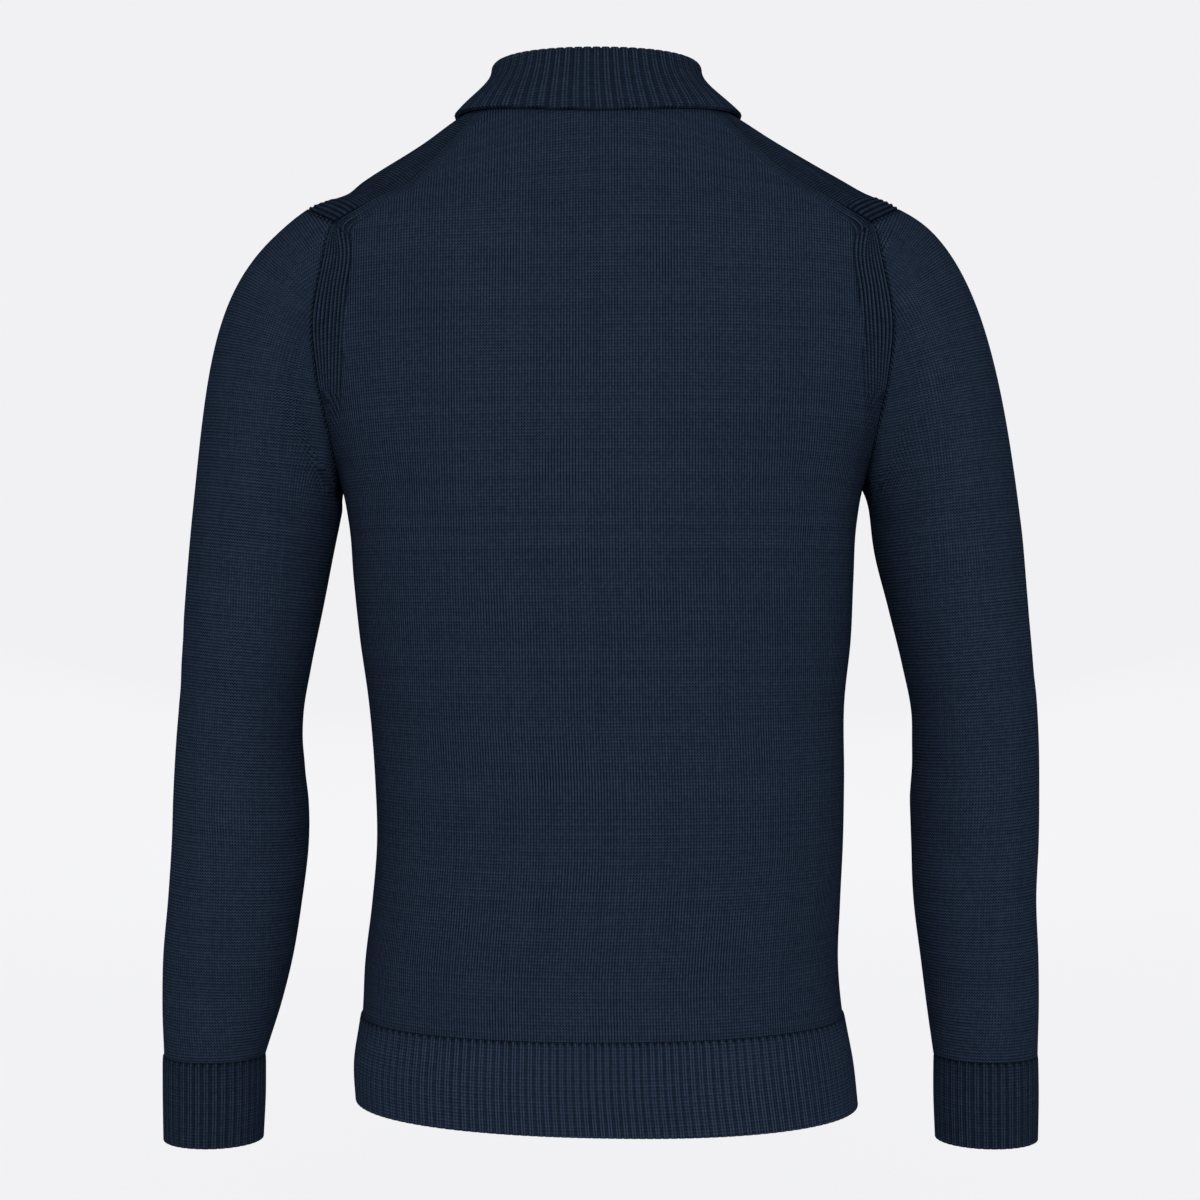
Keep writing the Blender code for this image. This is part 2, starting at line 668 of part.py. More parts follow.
def collar(neckline):
    """Stand, fold and fall as one wall, ribbed on the face that shows."""
    count = 2 * COLLAR_RIBS
    angle = 2 * math.pi * np.arange(count) / count
    half = RIB_WALL / 2
    base = along_polyline(neckline, angle)
    base[:, :2] -= half * unit(base[:, :2])
    base[:, 2] += SEAM_GAP + SEAM_SLACK
    edge_far = np.where(np.sin(angle) >= 0, FALL_EDGE_BACK, FALL_EDGE_FRONT)
    edge_height = FALL_EDGE_SIDE + (edge_far - FALL_EDGE_SIDE) * np.sin(angle) ** 2
    edge = torso_point(angle, edge_height) + FALL_EDGE_LIFT * torso_normal(angle, edge_height)
    inside = collar_ring(angle, FOLD_INSIDE)
    outside = collar_ring(angle, FOLD_OUTSIDE)
    stand = [base, collar_ring(angle, STAND_LOW), collar_ring(angle, STAND_HIGH), inside]
    fall = [outside, collar_ring(angle, FALL_HIGH), collar_ring(angle, FALL_LOW), edge]
    rows = [blend(stand, k / STAND_STEPS) for k in range(STAND_STEPS)]
    middle = (inside + outside) / 2
    reach = (outside - inside) / 2
    for k in range(FOLD_STEPS + 1):
        turn = math.pi * k / FOLD_STEPS
        crest = np.array([0, 0, 1]) * np.linalg.norm(reach, axis=1, keepdims=True)
        rows.append(middle - reach * math.cos(turn) + crest * math.sin(turn))
    rows += [blend(fall, k / FALL_STEPS) for k in range(1, FALL_STEPS + 1)]
    middle_rows = np.array(rows)
    around = np.roll(middle_rows, -1, axis=1) - np.roll(middle_rows, 1, axis=1)
    along = np.gradient(middle_rows, axis=0)
    shown = unit(np.cross(along, around))
    ribbed = middle_rows + shown * (half + rib_relief(count))[None, :, None]
    plain = (middle_rows - half * shown)[:, ::2]
    wall("collar", ribbed, plain, range(0, count, 2), True)


def build():
    for obj in list(bpy.data.objects):
        bpy.data.objects.remove(obj)
    lines = seam_lines()
    side, back_hole, front_hole, top_hole, shoulder = lines
    plain_rows = list(range(0, 2 * SHOULDER_RIBS, 4)) + list(range(2 * SHOULDER_RIBS, len(shoulder[0])))
    plain_shoulder = (shoulder[0][plain_rows], shoulder[1][plain_rows])
    angle, course = joined(side, back_hole, plain_shoulder)
    clear = np.full(len(angle), SEAM_GAP / TORSO[0][1] * 1.1)
    clear[SIDE_STEPS + 1:SIDE_STEPS + ARMHOLE_BACK_STEPS] = 0
    clear[SIDE_STEPS + ARMHOLE_BACK_STEPS:] = SEAM_GAP / NECK_WIDTH
    back = torso_wall("back", angle + clear, math.pi - angle - clear, course, False)
    angle, course = joined(side, front_hole, top_hole, shoulder)
    front = torso_wall("front", angle, -math.pi - angle, course, True)
    neckline = np.concatenate([back[-1], front[-1][::-1]])
    collar(neckline)
    ring = armhole_ring(lines)
    sleeve("sleeve_left", SLEEVE_LEFT, CAP_LEFT, ring, 1)
    sleeve("sleeve_right", SLEEVE_RIGHT, CAP_RIGHT, ring, -1)
    cuff("cuff_left", CUFF_LEFT, SLEEVE_LEFT[-1][0], 1)
    cuff("cuff_right", CUFF_RIGHT, SLEEVE_RIGHT[-1][0], -1)
    seam_turn = SEAM_GAP / TORSO[0][1] / 2
    hem("hem_back", seam_turn, math.pi - seam_turn)
    hem("hem_front", -seam_turn, -math.pi + seam_turn)


build()
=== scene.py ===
import math

import bpy
import numpy as np
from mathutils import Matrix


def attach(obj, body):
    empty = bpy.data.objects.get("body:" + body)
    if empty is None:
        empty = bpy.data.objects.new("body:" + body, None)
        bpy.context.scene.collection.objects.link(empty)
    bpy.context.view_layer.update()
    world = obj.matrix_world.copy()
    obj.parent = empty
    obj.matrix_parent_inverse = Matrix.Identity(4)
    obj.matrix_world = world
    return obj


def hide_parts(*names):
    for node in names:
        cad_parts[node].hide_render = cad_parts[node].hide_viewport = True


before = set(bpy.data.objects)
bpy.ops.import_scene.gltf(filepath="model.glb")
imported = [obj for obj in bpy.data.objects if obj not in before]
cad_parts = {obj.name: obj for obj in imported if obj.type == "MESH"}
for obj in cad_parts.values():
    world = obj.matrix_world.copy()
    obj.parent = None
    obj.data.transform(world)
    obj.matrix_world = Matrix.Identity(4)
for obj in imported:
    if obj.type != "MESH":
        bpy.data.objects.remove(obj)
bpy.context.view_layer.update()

# The worn form that all the cloth lies on
body = {
    "hemEdge": -664.5,
    "hemSeam": -605.0,
    "underarm": -248.0,
    "tip": -63.0,  # where the armhole crosses the shoulder line
    "corner": -57.0,  # height there of the course that the shoulder seam starts on
    # height, half width, back depth, front depth, squareness, shift in X
    "sections": [
        (-666.0, 168.5, 121.0, 116.0, 2.20, -3.0),
        (-639.0, 167.8, 119.0, 113.5, 2.20, -0.8),
        (-605.0, 162.5, 116.5, 110.0, 2.20, 0.0),
        (-571.0, 160.1, 113.0, 106.0, 2.20, 0.7),
        (-530.0, 158.4, 109.5, 102.5, 2.20, -2.4),
        (-489.0, 157.8, 107.0, 100.0, 2.20, -5.0),
        (-448.0, 158.8, 107.0, 100.0, 2.20, -4.8),
        (-394.0, 161.0, 109.0, 103.0, 2.25, -2.7),
        (-353.0, 166.0, 112.0, 107.0, 2.25, -2.0),
        (-312.0, 169.0, 115.0, 111.0, 2.30, -0.8),
        (-275.0, 171.6, 117.0, 114.0, 2.30, -0.3),
        (-248.0, 177.0, 117.0, 115.0, 2.30, 0.0),
        (-221.0, 189.0, 116.0, 114.5, 2.30, 0.0),
        (-175.0, 208.0, 113.0, 111.0, 2.30, 0.0),
        (-143.0, 216.0, 109.0, 106.0, 2.30, 0.0),
        (-111.0, 214.0, 104.0, 98.0, 2.30, 0.0),
        (-80.0, 206.0, 98.0, 86.0, 2.30, 0.0),
        (-63.0, 200.5, 92.0, 78.0, 2.20, -0.5),
        (-54.0, 178.5, 88.5, 73.5, 2.15, -2.2),
        (-45.0, 165.0, 85.0, 69.0, 2.10, -0.3),
        (-20.0, 122.5, 76.5, 56.0, 2.10, 1.5),
        (0.0, 93.5, 67.0, 46.0, 2.10, 3.0),
        (12.0, 73.0, 58.0, 40.0, 2.10, 3.5),
        (30.0, 40.0, 40.0, 30.0, 2.10, 4.0),
    ],
    "neckWidth": 71.0,  # neckline in plan: half width, then depth behind and in front
    "neckBack": 60.0,
    "neckFront": 71.0,
    "backDip": 60.0,  # how far the courses dip between the shoulders
    "tipDipFront": 30.0,
    "cornerDipFront": 5.0,
    "dipAngle": math.radians(45.0),
    # below this height less light reaches the cloth, up to this far from the armhole's seam
    "pitFrom": -180.0,
    "pitReach": 15.0,
    "pitShade": 0.7,
}
cloth = {
    "bodyWall": 2.0,
    "ribWall": 2.0,
    "seamGap": 0.3,
    "seamSlack": 0.3,
    "armholeGap": 0.4,
    "wale": 1.9,  # one column of stitches on the plain knit
    "course": 2.1,  # one row of stitches: 1.4 on the real one, drawn coarser so that the rows show
    "sideSlack": 1.1,  # the back's gap at the side seams, as a share of the seam's gap
    "sharpEdge": math.radians(50),
}
searchRounds = 40  # of each search for a height
lineDetail = 400  # points of a line before it is split evenly
lengthTable = {
    # lengths round the body are read from a table over heights and turns
    "heights": 140,
    "halfTurns": 110,
    "reach": 1.54 * math.pi / 2,  # to either side of the panel's middle line
}


def smoothCurve(xs, ys):
    xs = np.asarray(xs, float)
    ys = np.asarray(ys, float)
    slopes = np.gradient(ys, xs)

    def value(x):
        x = np.clip(np.asarray(x, float), xs[0], xs[-1])
        i = np.clip(np.searchsorted(xs, x) - 1, 0, len(xs) - 2)
        h = xs[i + 1] - xs[i]
        t = (x - xs[i]) / h
        bend = ys[i] * (2 * t**3 - 3 * t**2 + 1) + ys[i + 1] * (3 * t**2 - 2 * t**3)
        lean = slopes[i] * (t**3 - 2 * t**2 + t) + slopes[i + 1] * (t**3 - t**2)
        return bend + h * lean

    return value


def tableCurves(rows):
    rows = sorted(rows)
    first = [row[0] for row in rows]
    return [smoothCurve(first, [row[k] for row in rows]) for k in range(1, len(rows[0]))]


torsoWidth, torsoBack, torsoFront, torsoSquare, torsoShift = tableCurves(body["sections"])


def unit(vectors):
    return vectors / np.linalg.norm(vectors, axis=-1, keepdims=True)


def smoothStep(x, low, high):
    t = np.clip((x - low) / (high - low), 0, 1)
    return t * t * (3 - 2 * t)


def superRadius(angle, width, depth, square):
    across = np.abs(np.cos(angle) / width) ** square
    deep = np.abs(np.sin(angle) / depth) ** square
    return (across + deep) ** (-1.0 / square)


def torsoRadius(angle, height):
    depth = np.where(np.sin(angle) >= 0, torsoBack(height), torsoFront(height))
    return superRadius(angle, torsoWidth(height), depth, torsoSquare(height))


def torsoPoint(angle, height):
    radius = torsoRadius(angle, height)
    x = radius * np.cos(angle) + torsoShift(height)
    return np.stack([x, radius * np.sin(angle), np.broadcast_to(height, x.shape)], axis=-1)


def torsoNormal(angle, height):
    turn = 1e-3
    rise = 0.5
    around = torsoPoint(angle + turn, height) - torsoPoint(angle - turn, height)
    upward = torsoPoint(angle, height + rise) - torsoPoint(angle, height - rise)
    return unit(np.cross(around, upward))


def neckHeight(angle):
    depth = np.where(np.sin(angle) >= 0, body["neckBack"], body["neckFront"])
    wanted = ((np.cos(angle) / body["neckWidth"]) ** 2 + (np.sin(angle) / depth) ** 2) ** -0.5
    low = np.full(np.shape(angle), body["tip"])
    high = np.full(np.shape(angle), body["sections"][-1][0])
    for _ in range(searchRounds):
        middle = (low + high) / 2
        wider = torsoRadius(angle, middle) > wanted
        low = np.where(wider, middle, low)
        high = np.where(wider, high, middle)
    return (low + high) / 2


# Courses are numbered 0 at the hem seam, 1 at the underarm, 2 at the tip, 3 at the corner, 4 at the neck
def courseHeights(angle):
    fromSide = np.arcsin(np.clip(np.abs(np.sin(angle)), 0, 1))
    dip = np.sin(math.pi / 2 * np.clip(fromSide / body["dipAngle"], 0, 1)) ** 2
    isBack = np.sin(angle) >= 0
    level = np.ones(np.shape(angle))
    tip = body["tip"] - dip * np.where(isBack, body["backDip"], body["tipDipFront"])
    corner = body["corner"] - dip * np.where(isBack, body["backDip"], body["cornerDipFront"])
    return [body["hemSeam"] * level, body["underarm"] * level, tip, corner, neckHeight(angle)]


def courseHeight(angle, course):
    lines = courseHeights(angle)
    step = np.clip(np.floor(course), 0, 3).astype(int)
    low = np.choose(step, lines[:4])
    high = np.choose(step, lines[1:])
    return low + (high - low) * (course - step)


def courseAt(angle, height):
    return np.array([np.interp(h, courseHeights(np.array(a)), range(5)) for a, h in zip(angle, height)])


def angleBehind(behind, height):
    depth = np.where(behind >= 0, torsoBack(height), torsoFront(height))
    square = torsoSquare(height)
    x = torsoWidth(height) * (1 - np.abs(behind / depth) ** square) ** (1 / square)
    return np.arctan2(behind, x)


def runLengths(points):
    return np.concatenate([[0], np.cumsum(np.linalg.norm(np.diff(points, axis=0), axis=1))])


def alongRows(grid):
    steps = np.linalg.norm(np.diff(grid, axis=1), axis=2)
    return np.concatenate([np.zeros((len(grid), 1)), np.cumsum(steps, axis=1)], axis=1)


def alongColumns(grid):
    steps = np.linalg.norm(np.diff(grid, axis=0), axis=2)
    return np.concatenate([np.zeros((1, grid.shape[1])), np.cumsum(steps, axis=0)], axis=0)


def atLengths(angle, course, where):
    lengths = runLengths(torsoPoint(angle, courseHeight(angle, course)))
    return np.interp(where * lengths[-1], lengths, angle), np.interp(where * lengths[-1], lengths, course)


def joined(*lines):
    angle = np.concatenate([lines[0][0]] + [line[0][1:] for line in lines[1:]])
    course = np.concatenate([lines[0][1]] + [line[1][1:] for line in lines[1:]])
    return angle, course


# Seams on the left side: where the armhole and the shoulder seam run, and how finely they are drawn
armhole = {
    # from the underarm up: distance behind the side line, height
    "back": [(0.0, -248.0), (27.0, -241.0), (47.0, -216.0), (57.0, -177.0), (60.5, -135.0), (60.0, -103.0)],
    "front": [
        (0.0, -248.0), (-30.0, -241.0), (-53.0, -213.0), (-64.0, -170.0),
        (-64.0, -128.0), (-54.0, -93.0), (-34.0, -72.0), (0.0, -63.0),
    ],
    "cornerBehind": 57.0,
    # shoulder seam: share of the way to the neck, degrees behind the side
    "shoulder": [(0.25, 24.0), (0.5, 27.0), (0.75, 27.5), (1.0, 25.0)],
    "sideSteps": 119,
    "backSteps": 81,
    "topSteps": 54,
    "frontSteps": 90,
    "shoulderFine": 32,  # close rows beside the corner, then wider ones
    "fineRow": 0.75,
    "shoulderSteps": 40,
}


def armholeLine(rows, steps):
    ways = np.arange(len(rows))
    fine = np.linspace(0, len(rows) - 1, lineDetail)
    behind = smoothCurve(ways, [row[0] for row in rows])(fine)
    height = smoothCurve(ways, [row[1] for row in rows])(fine)
    angle = angleBehind(behind, height)
    return atLengths(angle, courseAt(angle, height), np.linspace(0, 1, steps + 1))


def cornerPlace():
    height = np.array(body["corner"])
    for _ in range(searchRounds):
        angle = angleBehind(np.array(armhole["cornerBehind"]), height)
        height = courseHeights(angle)[3]
    return float(angle), float(height)


def seamLines():
    cornerAngle, cornerZ = cornerPlace()
    backHole = armholeLine(armhole["back"] + [(armhole["cornerBehind"], cornerZ)], armhole["backSteps"])
    frontHole = armholeLine(armhole["front"], armhole["frontSteps"])
    backHole[1][-1] = 3.0
    backHole[0][-1] = cornerAngle
    frontHole[1][-1] = 2.0
    frontHole[0][-1] = 0.0
    side = (np.zeros(armhole["sideSteps"] + 1), np.linspace(0, 1, armhole["sideSteps"] + 1))
    fine = np.linspace(0, 1, lineDetail)
    topHole = atLengths(cornerAngle * fine, 2 + fine, np.linspace(0, 1, armhole["topSteps"] + 1))
    shares = [0.0] + [row[0] for row in armhole["shoulder"]]
    angles = [cornerAngle] + [math.radians(row[1]) for row in armhole["shoulder"]]
    seam = (smoothCurve(shares, angles)(fine), 3 + fine)
    total = runLengths(torsoPoint(seam[0], courseHeight(*seam)))[-1]
    close = armhole["fineRow"] * np.arange(armhole["shoulderFine"] + 1)
    rest = np.linspace(close[-1], total, armhole["shoulderSteps"] + 1)[1:]
    shoulder = atLengths(seam[0], seam[1], np.concatenate([close, rest]) / total)
    return side, backHole, frontHole, topHole, shoulder


seams = seamLines()
print("seam lines are laid")

# Panels: the plain knit of back and front, with close columns for the ribs beside the armholes
panel = {
    "bandColumns": 52,
    "bandColumn": 0.52,
    "middleColumns": 116,
    "middleSpread": 0.05,
    "wrapStart": 1.6,
    "wrapAngle": math.radians(12.0),
    "innerEvery": 4,
    # painted shade where the front turns up over the shoulder, as less light reaches it there: from which
    # course and turn
    "overShoulderShade": 0.55,
    "overShoulderCourse": (1.8, 2.2),
    "overShoulderTurn": (-0.2, 0.15),
    "followCourse": 1.35,  # from here up the stitches follow the ribs
    "followTurn": -0.05,  # and behind this turn those of the front follow the armhole
    "straightFrom": -140.0,  # between these heights the wales turn upright
    "straightAt": -95.0,
    "straightPoints": 181,
    # how far from an edge the waves start and are full
    "calm": (4.0, 40.0),
    "calmNeck": (6.0, 40.0),
}


def panelGrid(start, end, course, isFront):
    turn = 1e-3
    here = torsoPoint(start, courseHeight(start, course))
    near = torsoPoint(start + turn, courseHeight(start + turn, course))
    speed = np.linalg.norm(near - here, axis=1) / turn
    columns = panel["bandColumns"]
    reach = panel["bandColumn"] * np.arange(columns + 1)
    way = np.sign(end - start)[:, None]
    band = way * reach[None, :] / speed[:, None]
    if isFront:
        shares = np.linspace(0, 1, columns + 1)[None, :]
        wrap = way * np.maximum(start[:, None] + panel["wrapAngle"], np.abs(band[:, -1:])) * shares
        high = np.clip((course[:, None] - panel["wrapStart"]) / (2 - panel["wrapStart"]), 0, 1)
        band = band + (wrap - band) * high
    first = start[:, None] + band
    last = end[:, None] - band[:, ::-1]
    even = np.linspace(0, 1, panel["middleColumns"] + 1)[None, 1:-1]
    share = even - panel["middleSpread"] * np.sin(2 * math.pi * even)
    middle = first[:, -1:] + (last[:, :1] - first[:, -1:]) * share
    angle = np.concatenate([first, middle, last], axis=1)
    return angle, courseHeight(angle, np.broadcast_to(course[:, None], angle.shape))


def nearLine(points, line):
    # distance of each point from a line, and how far along the line the nearest place is
    flat = points.reshape(-1, 3)
    best = np.full(len(flat), np.inf)
    along = np.zeros(len(flat))
    done = 0.0
    for start, end in zip(line[:-1], line[1:]):
        step = end - start
        length = max(np.linalg.norm(step), 1e-6)
        share = np.clip((flat - start) @ step / length**2, 0, 1)
        gap = np.linalg.norm(flat - start - share[:, None] * step, axis=1)
        closer = gap < best
        best = np.where(closer, gap, best)
        along = np.where(closer, done + share * length, along)
        done += length
    return best.reshape(points.shape[:-1]), along.reshape(points.shape[:-1])


# The ribs beside the armholes and over the shoulder's end
bandRibs = {
    "height": 0.95,
    "sunk": 0.4,  # share of that height below the plain knit
    "backPitch": 3.1,
    "bendRound": 9.0,  # how softly they turn at the shoulder's corner
    "backStart": (1.0, 1.1),  # courses over which they rise
    "backInner": 3,  # ribs that run on beside the shoulder seam
    "besideFade": (4.0, 36.0),  # how far along it they fade into fine wales
    "besideReach": (9.0, 6.0),  # how far from it those start and are full
    "besideShade": 0.75,
    "backOuter": 5,  # ribs that follow the armhole's curve
    "fullPitch": 2.4,  # where they lie closer than this they are lower
    # where the curved ribs start on the back: height, distance from the middle
    "backLine": [(-248.0, 182.0), (-197.0, 178.0), (-151.0, 176.0), (-125.0, 174.3), (-99.0, 171.6)],
    "backFade": [(-250.0, 0.3), (-215.0, 0.5), (-185.0, 0.8), (-155.0, 1.0), (-60.0, 1.0)],
    "frontPitch": 3.4,
    "frontRibs": 5,
    "frontFade": [(-250.0, 0.0), (-205.0, 0.2), (-170.0, 0.6), (-140.0, 1.0), (-40.0, 1.0)],
}


def ribShape(count, strength):
    # count is 0 at the innermost valley and whole numbers in the valleys
    wave = np.cos(math.pi * count) ** 2
    raised = np.where(count >= 0, 1 - bandRibs["sunk"] - wave, -bandRibs["sunk"] * wave)
    shown = count > -0.5
    return np.where(shown, raised, 0) * strength * bandRibs["height"], np.where(shown, wave, 0) * strength


def backBand(face, course):
    # face runs inwards from the armhole's edge
    arc = alongRows(face)
    height = face[..., 2]
    out = np.abs(face[..., 0] - torsoShift(height))
    cornerRow = int(np.argmax(course >= 3.0))
    rows = bandRibs["backLine"] + [(height[cornerRow, 0], out[cornerRow, 0])]
    lineOut = smoothCurve([row[0] for row in rows], [row[1] for row in rows])(height)
    split = np.zeros(len(face))
    line = []
    for r in range(len(face)):
        if course[r] < 1:
            continue
        if course[r] < 3:
            split[r] = np.interp(0, lineOut[r] - out[r], arc[r])
        line.append([np.interp(split[r], arc[r], face[r, :, k]) for k in range(3)])
    line = np.array(line)
    bend = cornerRow - int(np.argmax(course >= 1))
    gap, along = nearLine(face, line)
    below = nearLine(face, line[:bend + 1])[0]
    above = nearLine(face, line[bend:])[0]
    mix = np.clip(0.5 + 0.5 * (below - above) / bandRibs["bendRound"], 0, 1)
    gap = np.maximum(below + (above - below) * mix - bandRibs["bendRound"] * mix * (1 - mix), 0)
    inner = bandRibs["backInner"]
    outer = bandRibs["backOuter"]
    share = np.clip(arc / np.maximum(split[:, None], 1e-3), 0, 1)
    curved = (arc < split[:, None]) & (course[:, None] < 3)
    count = np.where(curved, inner + outer * (1 - share), inner - gap / bandRibs["backPitch"])
    fade = smoothCurve(*zip(*bandRibs["backFade"]))(height)
    squeeze = np.clip(split[:, None] / outer / bandRibs["fullPitch"], 0, 1)
    past = smoothStep(along - runLengths(line)[bend], *bandRibs["besideFade"])
    fade = fade * np.where(curved, squeeze, 1) * (1 - past)
    fade = fade * smoothStep(course[:, None], *bandRibs["backStart"])
    relief, valley = ribShape(count, fade)
    # beyond the corner, fine wales take over beside the shoulder seam
    fine = gap / cloth["wale"]
    isSeam = course[:, None] >= 3
    beside = isSeam * smoothStep(gap, *bandRibs["besideReach"]) * past
    valley = np.maximum(valley, bandRibs["besideShade"] * beside * np.cos(math.pi * fine) ** 2)
    count = np.where(isSeam, fine * (gap < inner * bandRibs["backPitch"]), count)
    return relief, valley, count, along


def frontBand(face, course):
    used = (course >= 1) & (course <= 3)
    edge = face[used, 0]
    tip = face[int(np.argmax(course >= 2)), 0]
    gap, along = nearLine(face, np.concatenate([edge, [2 * edge[-1] - tip]]))
    count = bandRibs["frontRibs"] - gap / bandRibs["frontPitch"]
    fade = smoothCurve(*zip(*bandRibs["frontFade"]))(face[..., 2])
    relief, valley = ribShape(count, fade)
    return relief, valley, np.where(count > 0, count, -gap / cloth["wale"]), along


# Creases: soft troughs and ridges as seen from behind, with like ones in front.
# Each is start X, start Z, end X, end Z, half width, depth (a ridge is negative)
creases = {
    "strength": 1.9,
    "wander": 0.25,  # how far each winds, as a share of its width
    "windings": 5.0,
    "starts": (-0.25, 0.2),  # shares of its length
    "ends": (0.8, 1.25),
    "back": [
        (-150, -262, -126, -240, 7, 0.9), (-158, -275, -120, -262, 8, -0.6), (-148, -300, -118, -292, 9, 0.5),
        (152, -262, 128, -244, 7, 0.8), (158, -280, 122, -270, 8, -0.5),
        (110, -598, 96, -580, 5, 0.8), (104, -600, 88, -586, 5, -0.6), (122, -590, 112, -572, 6, 0.5),
        (-60, -430, 40, -445, 22, 0.6), (-120, -520, -60, -540, 18, 0.5), (60, -500, 120, -480, 18, 0.5),
        (-40, -140, 40, -150, 26, 0.6), (-96, -60, -70, -120, 12, 0.5), (96, -60, 70, -120, 12, 0.5),
    ],
    "front": [
        (-150, -262, -120, -238, 8, 0.9), (150, -262, 120, -238, 8, 0.9), (-146, -286, -112, -270, 9, -0.6),
        (146, -286, 112, -270, 9, -0.6), (-50, -470, 50, -455, 24, 0.6), (-118, -560, -60, -590, 14, 0.6),
        (118, -560, 60, -590, 14, 0.6), (-30, -180, 36, -190, 28, 0.7), (-90, -70, -66, -130, 14, 0.6),
        (90, -70, 66, -130, 14, 0.6),
    ],
    "sleeveLeft": [
        (214, -455, 262, -432, 8, 1.2), (208, -478, 258, -470, 8, -0.9), (212, -500, 256, -512, 9, 1.0),
        (206, -440, 240, -412, 9, -0.7), (196, -270, 226, -232, 8, 1.0), (204, -292, 240, -262, 9, -0.7),
        (240, -600, 282, -588, 7, 0.8), (236, -622, 284, -616, 6, -0.6), (262, -350, 272, -390, 12, 0.6),
    ],
    "sleeveRight": [
        (-216, -440, -266, -424, 8, 1.2), (-212, -464, -262, -462, 8, -0.9), (-218, -492, -262, -506, 9, 1.0),
        (-200, -262, -222, -222, 7, 1.2), (-208, -282, -236, -250, 8, -0.8), (-212, -300, -248, -280, 8, 0.8),
        (-227, -182, -234, -222, 5, 1.5), (-240, -596, -284, -586, 7, 0.8), (-236, -618, -284, -612, 6, -0.6),
        (-262, -340, -274, -384, 12, 0.6),
    ],
}


def creased(points, rows):
    # how far the cloth is pushed in along its normal
    x = points[..., 0]
    z = points[..., 2]
    depth = np.zeros(x.shape)
    for x1, z1, x2, z2, width, amount in rows:
        run = np.array([x2 - x1, z2 - z1], float)
        length = np.linalg.norm(run)
        run /= length
        along = ((x - x1) * run[0] + (z - z1) * run[1]) / length
        wander = creases["wander"] * width * np.sin(creases["windings"] * along + x1)
        across = (x - x1) * -run[1] + (z - z1) * run[0] + wander
        ends = smoothStep(along, *creases["starts"]) * (1 - smoothStep(along, *creases["ends"]))
        depth += amount * ends * np.exp(-0.5 * (across / width) ** 2)
    return depth * creases["strength"]


def pitShade(fromSeam, height):
    depth = smoothStep(height, body["pitFrom"], body["underarm"])
    return body["pitShade"] * depth * np.exp(-(fromSeam / body["pitReach"]) ** 2)


# The slight unevenness of cloth that hangs, from a few long waves. Each length is one radian of its wave
waves = {
    "across": 31,
    "down": 83,
    "downShift": 1.3,
    "bend": 0.4,
    "bendDown": 70,
    "small": 0.6,
    "smallAcross": 19,
    "smallDown": 120,
    "smallShift": 2.1,
    "panel": 0.75,  # height on the body
    "sleeve": 0.6,
    "sleeveShift": 40,
}


def softWaves(u, v, amount):
    bent = u / waves["across"] + waves["bend"] * np.sin(v / waves["bendDown"])
    large = np.sin(bent) * np.sin(v / waves["down"] + waves["downShift"])
    small = waves["small"] * np.sin(u / waves["smallAcross"] + v / waves["smallDown"] + waves["smallShift"])
    return amount * (large + small)


def torsoAround(angle, height, middle):
    # length round the body at one height, from the panel's middle line
    half = lengthTable["halfTurns"]
    heights = np.linspace(body["sections"][0][0], body["sections"][-1][0], lengthTable["heights"])
    turns = np.linspace(-lengthTable["reach"], lengthTable["reach"], 2 * half + 1)
    lengths = alongRows(torsoPoint(*np.broadcast_arrays(middle + turns[None, :], heights[:, None])))
    lengths -= lengths[:, half:half + 1]
    row = (height - heights[0]) / (heights[1] - heights[0])
    column = (angle - middle - turns[0]) / (turns[1] - turns[0])
    r = np.clip(row.astype(int), 0, len(heights) - 2)
    c = np.clip(column.astype(int), 0, len(turns) - 2)
    fr = row - r
    fc = column - c
    low = lengths[r, c] * (1 - fc) + lengths[r, c + 1] * fc
    high = lengths[r + 1, c] * (1 - fc) + lengths[r + 1, c + 1] * fc
    return low * (1 - fr) + high * fr


def torsoUp(angle, height):
    # length up the body along each column, sideways steps left out
    middle = (angle[1:] + angle[:-1]) / 2
    steps = np.linalg.norm(torsoPoint(middle, height[1:]) - torsoPoint(middle, height[:-1]), axis=2)
    return np.concatenate([np.zeros((1, angle.shape[1])), np.cumsum(steps, axis=0)], axis=0)


def addObject(name, data):
    obj = bpy.data.objects.new(name, data)
    bpy.context.scene.collection.objects.link(obj)
    return obj


